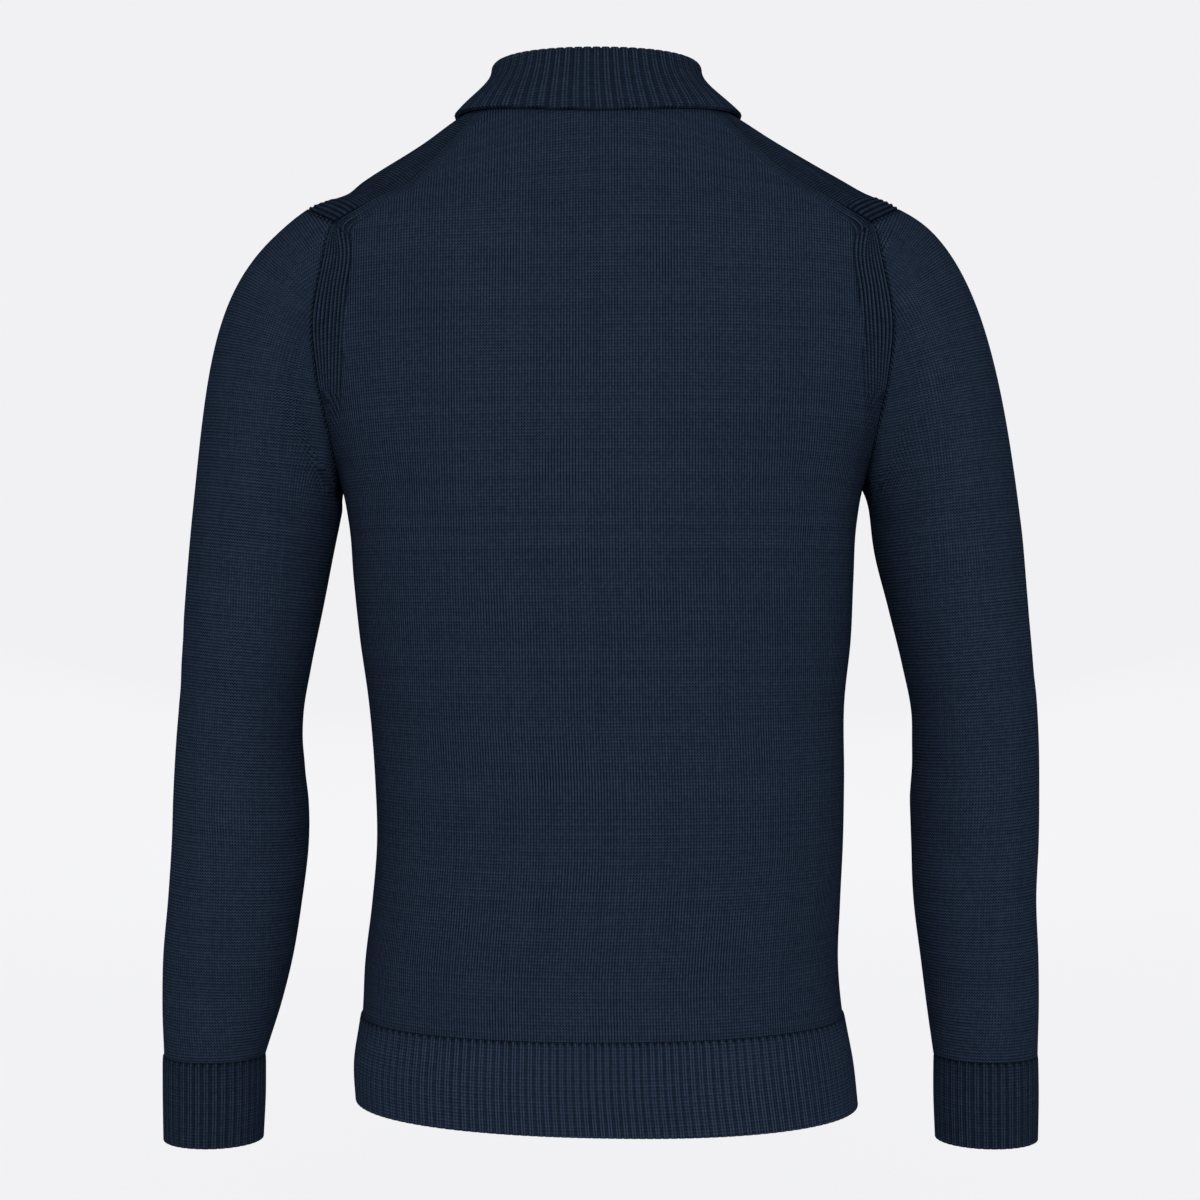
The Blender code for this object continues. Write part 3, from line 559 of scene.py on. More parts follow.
def addCloth(name, outer, inner, kept, closed, knit, seam, valley, other=None, otherFaces=None):
    # one closed thin wall. knit and seam are (u, v) in mm for each outer point, one more column on a tube.
    # The faces that otherFaces marks take other in place of knit
    rows, fine = outer.shape[:2]
    coarse = inner.shape[1]
    kept = np.asarray(kept)
    outerIds = np.arange(rows * fine).reshape(rows, fine)
    innerIds = rows * fine + np.arange(rows * coarse).reshape(rows, coarse)
    if closed:
        outerIds = np.concatenate([outerIds, outerIds[:, :1]], axis=1)
        innerIds = np.concatenate([innerIds, innerIds[:, :1]], axis=1)
        kept = np.concatenate([kept, [fine]])
    marks = np.arange(outerIds.size).reshape(outerIds.shape)

    def wallFaces(outIds, inIds):
        # the wall's two sides, its open ends if it has any, and fans of triangles along its two edges
        cells = []
        for grid, order in ((outIds, 1), (inIds, -1)):
            cell = np.stack([grid[:-1, :-1], grid[:-1, 1:], grid[1:, 1:], grid[1:, :-1]], axis=-1)
            cells.append(cell.reshape(-1, 4)[:, ::order])
        for column, order in () if closed else ((0, 1), (-1, -1)):
            o, i = outIds[:, column], inIds[:, column]
            cells.append(np.stack([o[:-1], i[:-1], i[1:], o[1:]], axis=-1)[:, ::order])
        fans = []
        for row, order in ((rows - 1, 1), (0, -1)):
            for j in range(len(kept) - 1):
                for k in range(kept[j], kept[j + 1]):
                    fans.append([outIds[row, k], outIds[row, k + 1], inIds[row, j]][::order])
                fans.append([inIds[row, j], outIds[row, kept[j + 1]], inIds[row, j + 1]][::order])
        return np.concatenate(cells), np.array(fans)

    quads, fans = wallFaces(outerIds, innerIds)
    points = np.concatenate([outer.reshape(-1, 3), inner.reshape(-1, 3)]) / 1000.0
    mesh = bpy.data.meshes.new(name)
    mesh.from_pydata(points.tolist(), [], quads.tolist() + fans.tolist())
    loops = np.concatenate([part.reshape(-1) for part in wallFaces(marks, marks[:, kept])])
    knitAll = knit.reshape(-1, 2)[loops]
    if other is not None:
        chosen = np.zeros(len(loops), bool)
        picked = np.repeat(otherFaces[:-1, :-1].reshape(-1), 4)
        chosen[:len(picked)] = picked
        knitAll = np.where(chosen[:, None], other.reshape(-1, 2)[loops], knitAll)
    for mapName, data in (("knit", knitAll), ("seam", seam.reshape(-1, 2)[loops])):
        layer = mesh.uv_layers.new(name=mapName)
        layer.data.foreach_set("uv", data.astype(np.float32).reshape(-1))
    attribute = mesh.attributes.new("valley", "FLOAT", "POINT")
    depths = np.zeros(len(points), np.float32)
    depths[:rows * fine] = valley.reshape(-1)
    attribute.data.foreach_set("value", depths)
    mesh.validate()
    mesh.update()
    if signedVolume(mesh) < 0:
        mesh.flip_normals()
    mesh.shade_smooth()
    mesh.set_sharp_from_angle(angle=cloth["sharpEdge"])
    print(name, len(mesh.polygons), "faces")
    return addObject(name, mesh)


def signedVolume(mesh):
    mesh.calc_loop_triangles()
    count = len(mesh.loop_triangles)
    ids = np.zeros(count * 3, np.int32)
    mesh.loop_triangles.foreach_get("vertices", ids)
    places = np.zeros(len(mesh.vertices) * 3, np.float32)
    mesh.vertices.foreach_get("co", places)
    a, b, c = np.moveaxis(places.reshape(-1, 3)[ids.reshape(-1, 3)].astype(float), 1, 0)
    return float(np.sum(np.cross(a, b) * c))


def gridNormals(grid):
    # of a closed tube, outward all round
    around = np.roll(grid, -1, axis=1) - np.roll(grid, 1, axis=1)
    normals = unit(np.cross(around, np.gradient(grid, axis=0)))
    if np.sum(normals * (grid - grid.mean(axis=1, keepdims=True))) < 0:
        normals = -normals
    return normals


def bodyPanel(name, start, end, course, isFront):
    angle, height = panelGrid(start, end, course, isFront)
    face = torsoPoint(angle, height)
    normal = torsoNormal(angle, height)
    band = frontBand if isFront else backBand
    half = face.shape[1] // 2 + 1
    left = band(face[:, :half], course)
    right = band(face[:, ::-1][:, :half], course)
    relief, valley, count, along = [
        np.concatenate([a, b[:, ::-1][:, 2 * half - face.shape[1]:]], axis=1) for a, b in zip(left, right)
    ]
    middle = -math.pi / 2 if isFront else math.pi / 2
    u = torsoAround(angle, height, middle)
    level = np.full(panel["straightPoints"], panel["straightAt"])
    turns = middle + np.linspace(-math.pi / 2, math.pi / 2, len(level))
    across = torsoPoint(turns, level)[:, 0]
    lengths = torsoAround(turns, level, middle)
    order = np.argsort(across)
    upright = np.interp(face[..., 0], across[order], lengths[order])
    u = u + (upright - u) * smoothStep(height, panel["straightFrom"], panel["straightAt"])
    v = torsoUp(angle, height)
    pushed = creased(face, creases["front" if isFront else "back"])
    fromEdge = np.minimum(alongRows(face), alongRows(face[:, ::-1])[:, ::-1])
    valley = np.maximum(valley, pitShade(fromEdge, height) * (course[:, None] >= 1))
    calm = smoothStep(fromEdge, *panel["calm"]) * smoothStep(height - body["hemSeam"], *panel["calm"])
    calm = calm * smoothStep(neckHeight(angle) - height, *panel["calmNeck"])
    form = face + ((softWaves(u, v, waves["panel"]) - pushed) * calm)[..., None] * normal
    outer = form + relief[..., None] * normal
    kept = list(range(0, face.shape[1] - 1, panel["innerEvery"])) + [face.shape[1] - 1]
    inner = (form - cloth["bodyWall"] * normal)[:, kept]
    knit = np.stack([u, v], axis=-1)
    other = np.stack([count * cloth["wale"], np.where(course[:, None] >= 3, along, v)], axis=-1)
    useOther = (count > 0) & (course[:, None] > panel["followCourse"])
    if isFront:
        turned = np.sin(angle)
        useOther = useOther | (turned > panel["followTurn"]) & (course[:, None] > 2)
        # painted shade on the front where it turns up over the shoulder
        overShoulder = smoothStep(turned, *panel["overShoulderTurn"])
        overShoulder = overShoulder * smoothStep(course[:, None], *panel["overShoulderCourse"])
        valley = np.maximum(valley, panel["overShoulderShade"] * overShoulder)
    return addCloth(name, outer, inner, kept, False, knit, knit, valley, other, useOther), face


def sectionRing(angle, innerEdge, outerEdge, middleY, halfDepth, height, tilt):
    halfWidth = (outerEdge - innerEdge) / 2
    across = -halfWidth * np.cos(angle)
    x = (innerEdge + outerEdge) / 2 + across
    return np.stack([x, middleY + halfDepth * np.sin(angle), height + tilt * across], axis=-1)


sleeve = {
    # height, the left one's inner and outer edge, the right one's, middle in Y, half depth
    "rows": [
        (-262.0, 177.8, 276.3, 181.8, 281.6, 0.0, 60.0),
        (-285.0, 182.2, 278.6, 184.5, 284.5, 0.5, 58.5),
        (-326.0, 189.7, 282.0, 194.4, 287.9, 1.5, 56.0),
        (-367.0, 197.8, 284.7, 204.0, 291.3, 2.5, 53.0),
        (-401.0, 203.3, 286.4, 210.1, 294.1, 3.0, 51.0),
        (-421.0, 204.0, 288.1, 210.3, 295.0, 3.0, 50.5),
        (-462.0, 199.9, 290.9, 209.5, 295.5, 1.5, 49.5),
        (-489.0, 200.1, 292.2, 210.1, 295.5, -0.5, 48.0),
        (-530.0, 205.3, 295.6, 212.3, 294.6, -4.5, 45.0),
        (-571.0, 212.5, 299.8, 217.8, 297.1, -9.0, 41.5),
        (-600.0, 219.8, 300.8, 221.8, 298.1, -12.0, 38.5),
        (-637.0, 231.3, 300.3, 227.3, 298.1, -15.0, 35.0),
    ],
    "tilt": 0.12,
    # how the cap leaves the armhole: outward and down at the tip, then its reach at either end
    "capLeft": (0.68, -0.73, 0.36, 0.48),
    "capRight": (0.78, -0.62, 0.27, 0.42),
    "capBelow": (0.35, -0.94),
    "capSwell": 0.25,
    "capRows": 60,
    "capCloser": 1.15,  # above 1 its rows lie closer at the armhole
    "capProbe": 12.0,  # how far below its end the sleeve's direction is taken
    "capBow": 55.0,  # rough radius of the arm there
    "grainReach": 120.0,  # how far its middle wale is thought to run on past the shoulder
    "grainRows": 20,  # rows of the sleeve that its curve takes in below the cap
    "grainStep": 4,  # rows that give its direction at the shoulder
    "grainTurn": (0.5, 1.0),  # share of the cap over which the wales turn to the sleeve's own
    "rowStep": 3.0,
    "innerEvery": 4,
    # how far from the armhole and the cuff the waves start and are full, and how far round from its edges
    "calm": (3.0, 30.0),
    "calmCuff": (4.0, 30.0),
    "calmTurn": (0.0, 0.25),
    "frontCreases": 0.6,  # share of the creases' depth in front
}


def armholeRing():
    _, backHole, frontHole, topHole, _ = seams
    downTop = (topHole[0][::-1], topHole[1][::-1])
    downFront = (frontHole[0][::-1], frontHole[1][::-1])
    angle, course = joined(backHole, downTop, downFront)
    steps = armhole["backSteps"] + armhole["topSteps"]
    behind = math.pi * np.arange(steps + 1) / steps
    before = math.pi + math.pi * np.arange(1, armhole["frontSteps"]) / armhole["frontSteps"]
    return angle[:-1], courseHeight(angle, course)[:-1], np.concatenate([behind, before])


def sleevePiece(name, side):
    column = 1 if side > 0 else 3
    table = [(row[0], row[column], row[column + 1], row[5], row[6]) for row in sleeve["rows"]]
    angle, height, section = armholeRing()
    start = torsoPoint(angle, height)
    start[:, 0] += (side - 1) * torsoShift(height)
    normal = torsoNormal(angle, height)
    innerEdge, outerEdge, middleY, halfDepth = tableCurves(table)

    def level(z, tilt):
        return sectionRing(section, innerEdge(z), outerEdge(z), middleY(z), halfDepth(z), z, tilt)

    top = table[0][0]
    end = level(top, sleeve["tilt"])
    below = level(top - sleeve["capProbe"], sleeve["tilt"])
    reach = np.linalg.norm(end - start, axis=1, keepdims=True)
    high = ((1 - np.cos(section)) / 2)[:, None]
    tipOut, tipDown, leaveReach, arriveReach = sleeve["capLeft" if side > 0 else "capRight"]
    capOut, capDown = sleeve["capBelow"]
    leave = np.array([capOut, 0, capDown]) * (1 - high) + np.array([tipOut, 0, tipDown]) * high
    leave = unit(leave + sleeve["capSwell"] * normal * high)
    seamWay = unit(np.roll(start, -1, axis=0) - np.roll(start, 1, axis=0))
    away = unit(np.cross(seamWay, normal))
    away = away * np.sign(np.sum(away * leave, axis=1, keepdims=True))
    first = start + cloth["armholeGap"] * away + cloth["seamGap"] * (1 - high) * normal
    controlA = first + leaveReach * reach * leave
    controlB = end + arriveReach * reach * unit(end - below)
    rows = []
    for t in np.linspace(0, 1, sleeve["capRows"] + 1) ** sleeve["capCloser"]:
        s = 1 - t
        rows.append(s**3 * first + 3 * s**2 * t * controlA + 3 * s * t**2 * controlB + t**3 * end)
    last = table[-1][0]
    steps = int(round((top - last) / sleeve["rowStep"]))
    for k in range(1, steps + 1):
        z = top + (last - top) * k / steps
        rows.append(level(z, sleeve["tilt"] * (1 - k / steps)))
    grid = np.array(rows)
    normals = gridNormals(grid)
    share = np.sqrt(high)
    normals[0] = unit(normals[0] * (1 - share) + normal * share)
    mirror = np.array([side, 1, 1])
    closedGrid = np.concatenate([grid, grid[:, :1]], axis=1)
    around = alongRows(closedGrid)
    outerLine = armhole["backSteps"] + armhole["topSteps"]
    around = around - around[:, outerLine:outerLine + 1]
    capEnd = sleeve["capRows"]
    fromSeam = alongColumns(closedGrid)
    down = fromSeam - fromSeam[capEnd:capEnd + 1]
    u = around.copy()
    v = np.broadcast_to(-down.mean(axis=1, keepdims=True), down.shape).copy()
    # on the cap the wales run beside the outer line, at their own distance from it
    outerCurve = closedGrid[:capEnd + sleeve["grainRows"], outerLine]
    onward = sleeve["grainReach"] * unit(outerCurve[0] - outerCurve[sleeve["grainStep"]])
    outerCurve = np.concatenate([[outerCurve[0] + onward], outerCurve])
    gap, along = nearLine(closedGrid[:capEnd + 1], outerCurve)
    bow = sleeve["capBow"]
    sign = np.where(np.arange(closedGrid.shape[1]) < outerLine, -1.0, 1.0)
    uCap = sign * 2 * bow * np.arcsin(np.clip(gap / 2 / bow, 0, 0.98))
    vCap = runLengths(outerCurve)[capEnd + 1] - along
    turnIn = smoothStep(np.arange(capEnd + 1) / capEnd, *sleeve["grainTurn"])[:, None]
    u[:capEnd + 1] = uCap + (around[capEnd] - uCap[capEnd]) * turnIn
    v[:capEnd + 1] = vCap - vCap[capEnd] * turnIn
    pushed = creased(grid * mirror, creases[name]) * np.where(grid[..., 1] > 0, 1.0, sleeve["frontCreases"])
    calm = smoothStep(fromSeam[:, :-1], *sleeve["calm"])
    calm = calm * smoothStep(grid[..., 2] - last, *sleeve["calmCuff"])
    swell = softWaves(u[:, :-1] + waves["sleeveShift"] * side, v[:, :-1], waves["sleeve"])
    swell = swell * smoothStep(np.abs(np.sin(section)), *sleeve["calmTurn"])
    outer = grid + ((swell - pushed) * calm)[..., None] * normals
    kept = list(range(0, grid.shape[1], sleeve["innerEvery"]))
    keptInner = (outer - cloth["bodyWall"] * normals)[:, kept]
    seam = np.stack([np.broadcast_to(around[0], around.shape), fromSeam], axis=-1)
    knit = np.stack([u, v], axis=-1)
    shaded = pitShade(fromSeam[:, :-1], grid[:1, :, 2])
    return addCloth(name, outer * mirror, keptInner * mirror, kept, True, knit, seam, shaded)


# The 2x1 rib of hem, cuffs and collar: two raised wales, then one sunk wale
rib = {
    "height": 0.95,
    "columns": 8,  # columns of the mesh for each rib
    "valley": 0.36,  # share of a rib that the valley takes
    "hemRibs": 78,
    "cuffRibs": 38,
    "collarRibs": 62,
    "hemLift": 0.4,  # how far the hem stands out from the knit above it
    "hemLean": 2.0,
    "hemRows": 24,
    "cuffRows": 24,
    "round": 0.6,  # how far the loose edge is rounded, and what share of it a little before
    "roundStart": 0.3,
    "edgeShares": [0.988, 0.996, 1.0],
    "tight": 0.35,  # how much flatter the ribs are right at their seam
    "tightReach": 2.0,
}


def ribWave(columns):
    share = (np.arange(columns) / rib["columns"] + 0.5) % 1 - 0.5
    return np.cos(math.pi * np.clip(share / rib["valley"], -0.5, 0.5)) ** 2


def ribKnit(columns):
    # three wales to a rib, the middle of the sunk one in the valley
    return cloth["wale"] * (3 * np.arange(columns) / rib["columns"] + 0.5)


def edgeShares(rows):
    # even rows, with two close ones at the loose edge for its rounding
    return np.concatenate([np.linspace(0, 1, rows + 1)[:-1], rib["edgeShares"]])


def levelled(normals):
    return unit(normals * np.array([1, 1, 0]))


cuff = {
    # drop from the sleeve's end, inner edge, outer edge, middle in Y, half depth
    "left": [
        (0.0, 232.1, 300.4, -15.0, 34.8),
        (28.0, 232.3, 300.4, -15.5, 34.5),
        (58.0, 233.8, 300.0, -16.0, 34.2),
    ],
    "right": [
        (0.0, 228.3, 297.6, -15.0, 34.8),
        (28.0, 228.3, 298.0, -15.5, 34.8),
        (58.0, 229.5, 297.6, -16.0, 34.5),
    ],
}


def cuffPiece(name, side):
    table = cuff["left" if side > 0 else "right"]
    top = sleeve["rows"][-1][0] - cloth["seamGap"]
    count = rib["cuffRibs"] * rib["columns"]
    angle = 2 * math.pi * np.arange(count) / count
    curves = tableCurves(table)
    base = []
    for share in edgeShares(rib["cuffRows"]):
        drop = share * table[-1][0]
        innerEdge, outerEdge, middleY, halfDepth = [curve(drop) for curve in curves]
        base.append(sectionRing(angle, innerEdge, outerEdge, middleY, halfDepth, top - drop, 0))
    base = np.array(base)
    return ribTube(name, base, levelled(gridNormals(base)), 0.0, np.array([side, 1, 1]), True, rib["tight"])


def ribTube(name, base, normals, lift, mirror, closed, tight):
    # ribs raised from a plain wall, with the loose edge rounded
    count = base.shape[1]
    valley = np.broadcast_to(ribWave(count), base.shape[:2])
    down = alongColumns(base)
    relief = rib["height"] * (1 - valley) * (1 - tight * np.exp(-down / rib["tightReach"]))
    relief[-1] -= rib["round"]
    relief[-2] -= rib["round"] * rib["roundStart"]
    outer = base + normals * (lift + relief)[..., None]
    kept = list(range(0, count, rib["columns"] // 2))
    inner = (base - (cloth["ribWall"] - lift) * normals)[:, kept]
    if closed:
        down = np.concatenate([down, down[:, :1]], axis=1)
    u = np.broadcast_to(ribKnit(down.shape[1]), down.shape)
    seam = np.stack([u, down], axis=-1)
    knit = np.stack([u, -down], axis=-1)
    return addCloth(name, outer * mirror, inner * mirror, kept, closed, knit, seam, valley)


def hemPiece(name, start, end):
    count = rib["hemRibs"] * rib["columns"]
    angle = np.linspace(start, end, count + 1)[None, :]
    share = edgeShares(rib["hemRows"])[:, None]
    edge = body["hemEdge"] + rib["hemLean"] * np.cos(angle)
    top = body["hemSeam"] - cloth["seamGap"]
    angle, height = np.broadcast_arrays(angle, top + (edge - top) * share)
    normals = levelled(torsoNormal(angle, height))
    return ribTube(name, torsoPoint(angle, height), normals, rib["hemLift"], np.ones(3), False, rib["tight"])


# Collar: a low folded roll neck that spreads at the sides
collar = {
    # half width, back depth, front depth, height at the sides, at the back and in front
    "standLow": (67.5, 57.0, 66.0, 22.0, 16.0, -24.0),
    "standHigh": (64.5, 55.0, 60.0, 28.0, 27.0, 8.0),
    "foldInside": (64.5, 55.5, 59.5, 32.5, 32.2, 19.0),
    "foldOutside": (69.5, 60.5, 64.5, 32.5, 32.2, 19.0),
    "fallHigh": (70.0, 62.5, 68.0, 21.0, 20.0, 2.0),
    "fallLow": (84.5, 67.0, 74.0, 14.0, 9.0, -24.0),
    "shift": 4.0,
    "squareness": 2.15,
    "edgeSide": -1.0,
    "edgeBack": -8.5,
    "edgeFront": -62.0,
    "edgeLift": 2.2,
    "standRows": 16,
    "foldRows": 10,
    "fallRows": 26,
}


def collarRing(angle, name):
    width, back, front, sideZ, backZ, frontZ = collar[name]
    isBack = np.sin(angle) >= 0
    radius = superRadius(angle, width, np.where(isBack, back, front), collar["squareness"])
    z = sideZ + (np.where(isBack, backZ, frontZ) - sideZ) * np.sin(angle) ** 2
    return np.stack([radius * np.cos(angle) + collar["shift"], radius * np.sin(angle), z], axis=-1)


def alongPolyline(line, angle):
    bearing = np.unwrap(np.arctan2(line[:, 1], line[:, 0]))
    if bearing[-1] < bearing[0]:
        line = line[::-1]
        bearing = bearing[::-1]
    turns = np.concatenate([bearing - 2 * math.pi, bearing, bearing + 2 * math.pi])
    tripled = np.concatenate([line, line, line])
    return np.stack([np.interp(angle, turns, tripled[:, k]) for k in range(3)], axis=-1)


def blendRings(rings, share):
    if len(rings) == 1:
        return rings[0]
    return (1 - share) * blendRings(rings[:-1], share) + share * blendRings(rings[1:], share)


def collarPiece(name, neckline):
    count = rib["collarRibs"] * rib["columns"]
    angle = 2 * math.pi * np.arange(count) / count
    half = cloth["ribWall"] / 2
    base = alongPolyline(neckline, angle)
    base[:, :2] -= half * unit(base[:, :2])
    base[:, 2] += cloth["seamGap"] + cloth["seamSlack"]
    edgeFar = np.where(np.sin(angle) >= 0, collar["edgeBack"], collar["edgeFront"])
    edgeHeight = collar["edgeSide"] + (edgeFar - collar["edgeSide"]) * np.sin(angle) ** 2
    edge = torsoPoint(angle, edgeHeight) + collar["edgeLift"] * torsoNormal(angle, edgeHeight)
    inside = collarRing(angle, "foldInside")
    outside = collarRing(angle, "foldOutside")
    stand = [base, collarRing(angle, "standLow"), collarRing(angle, "standHigh"), inside]
    fall = [outside, collarRing(angle, "fallHigh"), collarRing(angle, "fallLow"), edge]
    rows = [blendRings(stand, k / collar["standRows"]) for k in range(collar["standRows"])]
    middle = (inside + outside) / 2
    reach = (outside - inside) / 2
    crest = np.array([0, 0, 1]) * np.linalg.norm(reach, axis=1, keepdims=True)
    for k in range(collar["foldRows"] + 1):
        turn = math.pi * k / collar["foldRows"]
        rows.append(middle - reach * math.cos(turn) + crest * math.sin(turn))
    rows += [blendRings(fall, share) for share in edgeShares(collar["fallRows"])[1:]]
    grid = np.array(rows)
    around = np.roll(grid, -1, axis=1) - np.roll(grid, 1, axis=1)
    shown = unit(np.cross(np.gradient(grid, axis=0), around))
    return ribTube(name, grid, shown, half, np.ones(3), True, 0.0)


def toLinear(code, strength=1.0):
    values = [int(code[i:i + 2], 16) / 255 for i in (1, 3, 5)]
    return [strength * (v / 12.92 if v <= 0.04045 else ((v + 0.055) / 1.055) ** 2.4) for v in values] + [1.0]


def addNode(tree, kind, inputs=(), **settings):
    # inputs: a list in the order of the sockets, or a dictionary by name or number
    node = tree.nodes.new("ShaderNode" + kind)
    for setting, value in settings.items():
        setattr(node, setting, value)
    for socket, value in inputs.items() if isinstance(inputs, dict) else enumerate(inputs):
        if isinstance(value, bpy.types.NodeSocket):
            tree.links.new(value, node.inputs[socket])
        else:
            node.inputs[socket].default_value = value
    return node.outputs[0]


# Merino yarn, knitted fine and washed: quite matt, with painted shade in the grooves between the stitches
yarn = {
    "top": "#222c3c",  # top of a stitch
    "groove": "#04070c",  # between the stitches, painted dark as shade
    "roughness": 0.95,
    "specular": 0.0,
    "depth": 0.00035,  # stitch height in metres
    "waleContrast": 0.52,
    "courseContrast": 0.4,
    "rowNoise": 0.16,  # rows and columns that came out tighter or looser show as faint lines
    "columnNoise": 0.12,
    "stitchNoise": 0.3,
    "patchNoise": 0.18,
    "patchScale": 11.0,
    "blotchScale": 26.0,  # patches where the columns show, beside others where the rows do
    "blotchSwing": 2.4,
    "blotchBase": 0.2,
    "valleyShade": 0.6,
    "holeDepth": 1.5,
    "bump": 0.5,
}
# Small holes along a linking seam, painted dark as shade falls in them: distance from it, pitch, shade and
# half width, in millimetres
holes = {
    "none": (-10.0, 3.0, 0.0, 1.0),
    "armhole": (1.2, 3.9, 1.0, 1.2),
    "rib": (0.9, 3 * cloth["wale"], 0.85, 0.8),
}


def knitMaterial(name, tone, rows, kind):
    # rows: how much more the rows of stitches show than the columns
    dotPlace, dotPitch, dotDepth, dotWidth = holes[kind]
    swing, base = yarn["blotchSwing"], yarn["blotchBase"]
    wales, courses = yarn["waleContrast"], yarn["courseContrast"]
    material = bpy.data.materials.new(name)
    material.use_nodes = True
    tree = material.node_tree
    shader = tree.nodes["Principled BSDF"]
    place = addNode(tree, "UVMap", uv_map="knit")
    split = addNode(tree, "SeparateXYZ", [place]).node
    u = addNode(tree, "Math", [split.outputs[0], cloth["wale"]], operation="DIVIDE")
    v = addNode(tree, "Math", [split.outputs[1], cloth["course"]], operation="DIVIDE")
    # each wale is a column of V stitches: side is 0 in its middle and 1 in the groove beside it
    part = addNode(tree, "Math", [u], operation="FRACT")
    turn = addNode(tree, "Math", [part, 2.0, -1.0], operation="MULTIPLY_ADD")
    side = addNode(tree, "Math", [turn], operation="ABSOLUTE")
    uTurn = addNode(tree, "Math", [side, math.pi], operation="MULTIPLY")
    waleWave = addNode(tree, "Math", [uTurn], operation="COSINE")
    slant = addNode(tree, "Math", [side, -0.5, v], operation="MULTIPLY_ADD")
    vTurn = addNode(tree, "Math", [slant, 2 * math.pi], operation="MULTIPLY")
    courseWave = addNode(tree, "Math", [vTurn], operation="COSINE")
    # the light catches the columns in one patch and the rows in the next
    spot = addNode(tree, "TexCoord").node.outputs["Object"]
    scale = yarn["blotchScale"]
    blotch = addNode(tree, "TexNoise", {"Vector": spot, "Scale": scale, "Detail": 2.0, "Roughness": 0.5})
    patch = addNode(tree, "Math", [blotch, rows], operation="SUBTRACT")
    waleShare = addNode(tree, "Math", [patch, swing * wales, -base * wales], operation="MULTIPLY_ADD")
    rest = (swing - base) * courses
    courseShare = addNode(tree, "Math", [patch, -swing * courses, rest], operation="MULTIPLY_ADD")
    columns = addNode(tree, "Math", [waleWave, waleShare, 1.0], operation="MULTIPLY_ADD")
    stitch = addNode(tree, "Math", [courseWave, courseShare, columns], operation="MULTIPLY_ADD")
    cellU = addNode(tree, "Math", [u], operation="FLOOR")
    cellV = addNode(tree, "Math", [v], operation="FLOOR")
    cell = addNode(tree, "CombineXYZ", [cellU, cellV])
    oddStitch = addNode(tree, "TexWhiteNoise", {"Vector": cell}, noise_dimensions="2D").node.outputs["Value"]
    oddRow = addNode(tree, "TexWhiteNoise", {"W": cellV}, noise_dimensions="1D").node.outputs["Value"]
    oddColumn = addNode(tree, "TexWhiteNoise", {"W": cellU}, noise_dimensions="1D").node.outputs["Value"]
    scale = yarn["patchScale"]
    cloud = addNode(tree, "TexNoise", {"Vector": spot, "Scale": scale, "Detail": 4.0, "Roughness": 0.6})
    shade = addNode(tree, "Math", [stitch, tone], operation="MULTIPLY")
    for odd, amount in ((oddStitch, yarn["stitchNoise"]), (oddRow, yarn["rowNoise"]),
                        (oddColumn, yarn["columnNoise"]), (cloud, yarn["patchNoise"])):
        uneven = addNode(tree, "Math", [odd, amount, 1 - amount / 2], operation="MULTIPLY_ADD")
        shade = addNode(tree, "Math", [shade, uneven], operation="MULTIPLY")
    # painted shade from the valley attribute, as less light reaches there: in the valleys between ribs, in
    # the grooves beside the shoulder seams, beside the armpits and where the front turns up over the
    # shoulders
    valley = addNode(tree, "Attribute", attribute_name="valley").node.outputs["Fac"]
    valleyShade = addNode(tree, "Math", [valley, -yarn["valleyShade"], 1.0], operation="MULTIPLY_ADD")
    shade = addNode(tree, "Math", [shade, valleyShade], operation="MULTIPLY")
    # the linking seam shows as a line of small holes, painted dark as shade falls in them
    seamPlace = addNode(tree, "UVMap", uv_map="seam")
    seamSplit = addNode(tree, "SeparateXYZ", [seamPlace]).node
    beat = addNode(tree, "Math", [seamSplit.outputs[0], 2 * math.pi / dotPitch], operation="MULTIPLY")
    beatWave = addNode(tree, "Math", [beat], operation="COSINE")
    dot = addNode(tree, "Math", [beatWave, 0.5, 0.5], operation="MULTIPLY_ADD")
    away = addNode(tree, "Math", [seamSplit.outputs[1], dotPlace], operation="SUBTRACT")
    awaySquare = addNode(tree, "Math", [away, away], operation="MULTIPLY")
    fall = addNode(tree, "Math", [awaySquare, -0.5 / dotWidth**2], operation="MULTIPLY")
    line = addNode(tree, "Math", [fall], operation="EXPONENT")
    hole = addNode(tree, "Math", [dot, line], operation="MULTIPLY")
    holeShade = addNode(tree, "Math", [hole, -dotDepth, 1.0], operation="MULTIPLY_ADD")
    shade = addNode(tree, "Math", [shade, holeShade], operation="MULTIPLY")
    # shade runs from 0 in a groove to 2 on top of a stitch
    share = addNode(tree, "Math", [shade, 0.5], operation="MULTIPLY", use_clamp=True)
    tones = {0: share, 6: toLinear(yarn["groove"]), 7: toLinear(yarn["top"])}
    colour = addNode(tree, "Mix", tones, data_type="RGBA")
    tree.links.new(colour.node.outputs[2], shader.inputs["Base Color"])
    height = addNode(tree, "Math", [hole, -yarn["holeDepth"], stitch], operation="MULTIPLY_ADD")
    bump = addNode(tree, "Bump", {"Strength": yarn["bump"], "Distance": yarn["depth"], "Height": height})
    tree.links.new(bump, shader.inputs["Normal"])
    shader.inputs["Roughness"].default_value = yarn["roughness"]
    shader.inputs["Specular IOR Level"].default_value = yarn["specular"]
    return material


# One yarn in every piece at its own tone: the cuffs and the collar are painted darker as shade, as less light
# reaches them
plainKnit = knitMaterial("merinoPlainKnit", 1.0, -0.08, "none")
sleeveKnit = knitMaterial("merinoSleeveKnit", 1.03, 0.3, "armhole")
hemKnit = knitMaterial("merinoHemRib", 1.38, 0.0, "rib")
cuffKnit = knitMaterial("merinoCuffRib", 0.93, 0.0, "rib")
collarKnit = knitMaterial("merinoCollarRib", 0.91, 0.0, "none")
print("knit materials are made")

side, backHole, frontHole, topHole, shoulder = seams
angle, course = joined(side, backHole, shoulder)
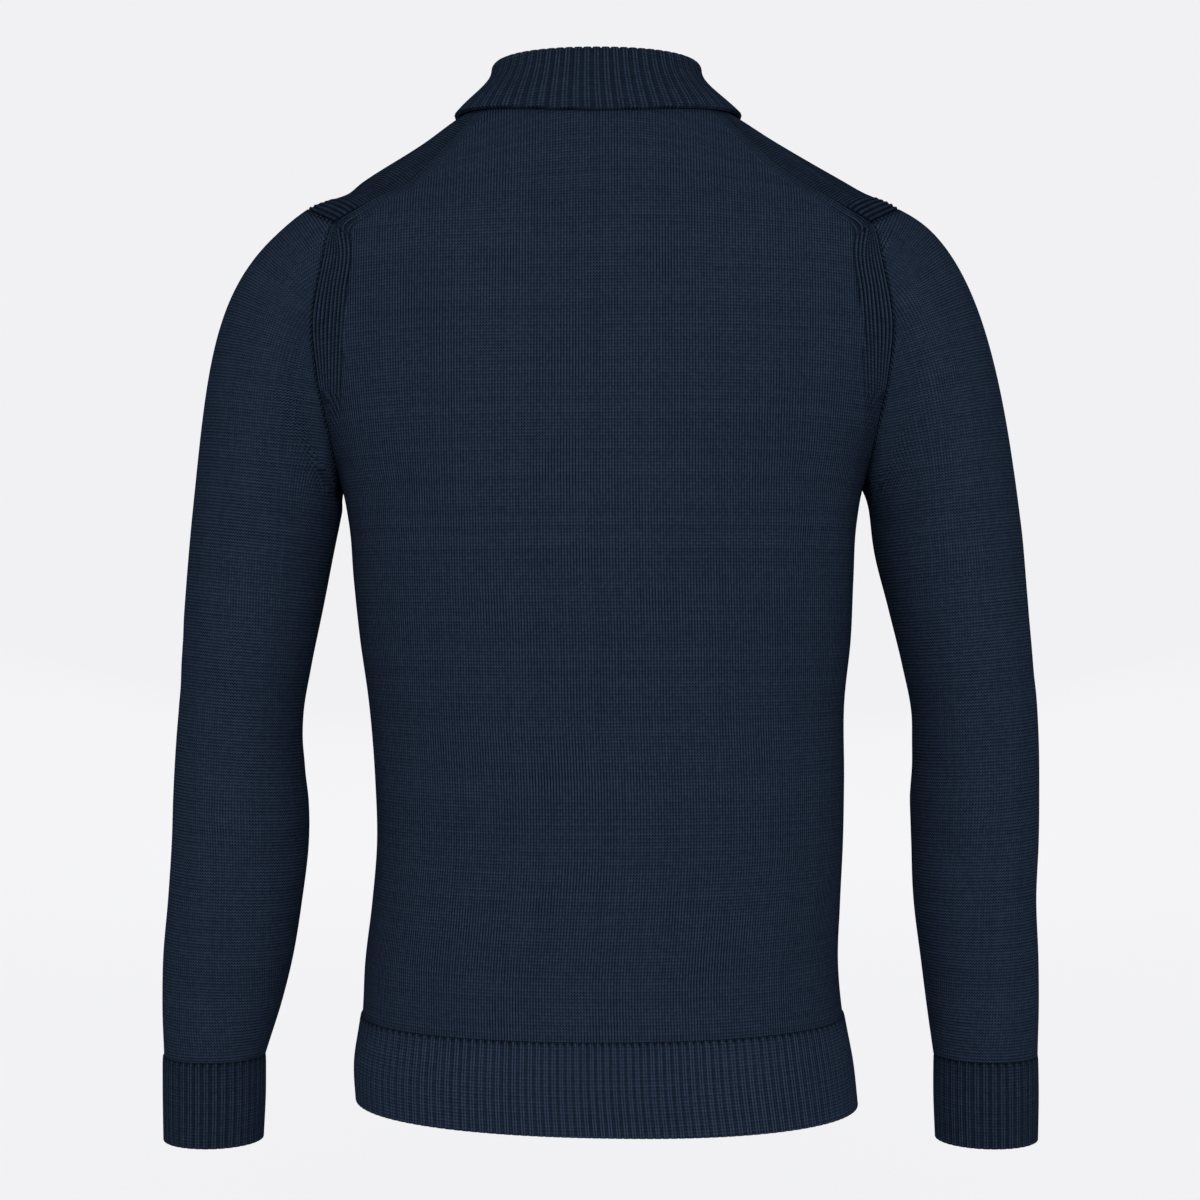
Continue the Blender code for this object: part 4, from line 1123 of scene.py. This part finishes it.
# the back leaves its gap at the side seams and beside the shoulder seams, and none along the armholes
sideTurn = cloth["seamGap"] / body["sections"][0][1]
clear = np.full(len(angle), sideTurn * cloth["sideSlack"])
clear[armhole["sideSteps"] + 1:armhole["sideSteps"] + armhole["backSteps"]] = 0
clear[armhole["sideSteps"] + armhole["backSteps"]:] = cloth["seamGap"] / body["neckWidth"]
backPiece, backFace = bodyPanel("backPanel", angle + clear, math.pi - angle - clear, course, False)
angle, course = joined(side, frontHole, topHole, shoulder)
frontPiece, frontFace = bodyPanel("frontPanel", angle, -math.pi - angle, course, True)
neckline = np.concatenate([backFace[-1], frontFace[-1][::-1]])
sleeveLeft = sleevePiece("sleeveLeft", 1)
sleeveRight = sleevePiece("sleeveRight", -1)
cuffLeft = cuffPiece("cuffLeft", 1)
cuffRight = cuffPiece("cuffRight", -1)
hemBack = hemPiece("hemBack", sideTurn / 2, math.pi - sideTurn / 2)
hemFront = hemPiece("hemFront", -sideTurn / 2, -math.pi + sideTurn / 2)
collarRib = collarPiece("collarRib", neckline)

# Which CAD node each piece stands for, its finish, its cut in metres and what it hangs from
pieces = [
    (backPiece, "back", "plain_knit", plainKnit, (0.50, 0.64), 0.255, "hung", ["front"]),
    (frontPiece, "front", "plain_knit", plainKnit, (0.50, 0.66), 0.275, "hung", ["back"]),
    (sleeveLeft, "sleeve_left", "plain_knit", sleeveKnit, (0.36, 0.57), 0.145, "hung", ["back", "front"]),
    (sleeveRight, "sleeve_right", "plain_knit", sleeveKnit, (0.36, 0.57), 0.145, "hung", ["back", "front"]),
    (cuffLeft, "cuff_left", "rib_knit", cuffKnit, (0.22, 0.058), None, "hung", ["sleeve_left"]),
    (cuffRight, "cuff_right", "rib_knit", cuffKnit, (0.22, 0.058), None, "hung", ["sleeve_right"]),
    (hemBack, "hem_back", "rib_knit", hemKnit, (0.46, 0.06), None, "hung", ["back"]),
    (hemFront, "hem_front", "rib_knit", hemKnit, (0.46, 0.06), None, "hung", ["front"]),
    (collarRib, "collar", "rib_knit", collarKnit, (0.43, 0.09), None, "folded", ["back", "front"]),
]
for piece, node, slotName, material, flat, area, held, holders in pieces:
    piece.data.materials.append(material)
    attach(piece, "root")
    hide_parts(node)
print("cloth pieces are in place")

# Studio: a pale bowl of seamless paper, so that every side shows the same plain ground
studio = {
    "paper": "#f2f2f4",
    "floor": -0.80,
    "floorRadius": 2.6,
    "bend": 1.2,
    "wall": 3.4,
    "glow": 0.95,
    "paperShare": 0.04,
    "bendSteps": 12,
    "turns": 72,
    "roughness": 0.95,
    "world": 0.9,
    # soft boxes: name, place, what they are aimed at, size, power
    "boxes": [
        ("keyBox", (0.0, 3.0, 0.5), (0.0, 0.0, -0.32), (2.4, 1.8), 80.0),  # behind the camera
        ("farBox", (0.0, -3.0, 0.5), (0.0, 0.0, -0.32), (2.4, 1.8), 50.0),  # the same from the other side
        ("overheadBox", (0.0, 0.2, 2.4), (0.0, 0.0, -0.3), (2.6, 2.6), 6.0),
    ],
}


def paperBowl():
    profile = [(0.001, 0.0), (studio["floorRadius"] * 0.5, 0.0)]
    for k in range(studio["bendSteps"] + 1):
        turn = math.pi / 2 * k / studio["bendSteps"]
        out = studio["floorRadius"] + studio["bend"] * math.sin(turn)
        profile.append((out, studio["bend"] * (1 - math.cos(turn))))
    profile.append((studio["floorRadius"] + studio["bend"], studio["wall"]))
    turns = studio["turns"]
    points = []
    for out, up in profile:
        for k in range(turns):
            turn = 2 * math.pi * k / turns
            points.append((out * math.cos(turn), out * math.sin(turn), studio["floor"] + up))
    faces = []
    for r in range(len(profile) - 1):
        for k in range(turns):
            n = (k + 1) % turns
            faces.append((r * turns + k, r * turns + n, (r + 1) * turns + n, (r + 1) * turns + k))
    mesh = bpy.data.meshes.new("paperBowl")
    mesh.from_pydata(points, [], faces)
    mesh.shade_smooth()
    paper = bpy.data.materials.new("seamlessPaper")
    paper.use_nodes = True
    shader = paper.node_tree.nodes["Principled BSDF"]
    shader.inputs["Base Color"].default_value = toLinear(studio["paper"], studio["paperShare"])
    shader.inputs["Roughness"].default_value = studio["roughness"]
    shader.inputs["Specular IOR Level"].default_value = 0.0
    shader.inputs["Emission Color"].default_value = toLinear(studio["paper"])
    shader.inputs["Emission Strength"].default_value = studio["glow"]
    mesh.materials.append(paper)
    bowl = addObject("paperBowl", mesh)


def softBox(name, place, aim, size, power):
    lamp = bpy.data.lights.new(name, "AREA")
    lamp.shape = "RECTANGLE"
    lamp.size, lamp.size_y = size
    lamp.energy = power
    box = addObject(name, lamp)
    box.location = place
    back = np.array(place) - np.array(aim)
    lean = math.atan2(math.hypot(back[0], back[1]), back[2])
    box.rotation_euler = (lean, 0.0, math.atan2(back[0], -back[1]))


paperBowl()
for box in studio["boxes"]:
    softBox(*box)
world = bpy.data.worlds.new("studioAir")
world.use_nodes = True
world.node_tree.nodes["Background"].inputs["Color"].default_value = toLinear(studio["paper"])
world.node_tree.nodes["Background"].inputs["Strength"].default_value = studio["world"]
bpy.context.scene.world = world
bpy.context.scene.view_settings.view_transform = "Standard"

# Camera level with the middle of the back, as far off as in the photograph
view = {
    "sensor": 36.0,
    "lens": 70.6,
    "clipEnd": 30.0,
    "place": (0.0017, 1.6, -0.326),
    "turn": (math.pi / 2, 0.0, math.pi),
}
camera = bpy.data.cameras.new("camera")
camera.sensor_width = view["sensor"]
camera.lens = view["lens"]
camera.clip_end = view["clipEnd"]
cameraObject = addObject("camera", camera)
cameraObject.location = view["place"]
cameraObject.rotation_euler = view["turn"]
bpy.context.scene.camera = cameraObject
print("studio and camera are set")
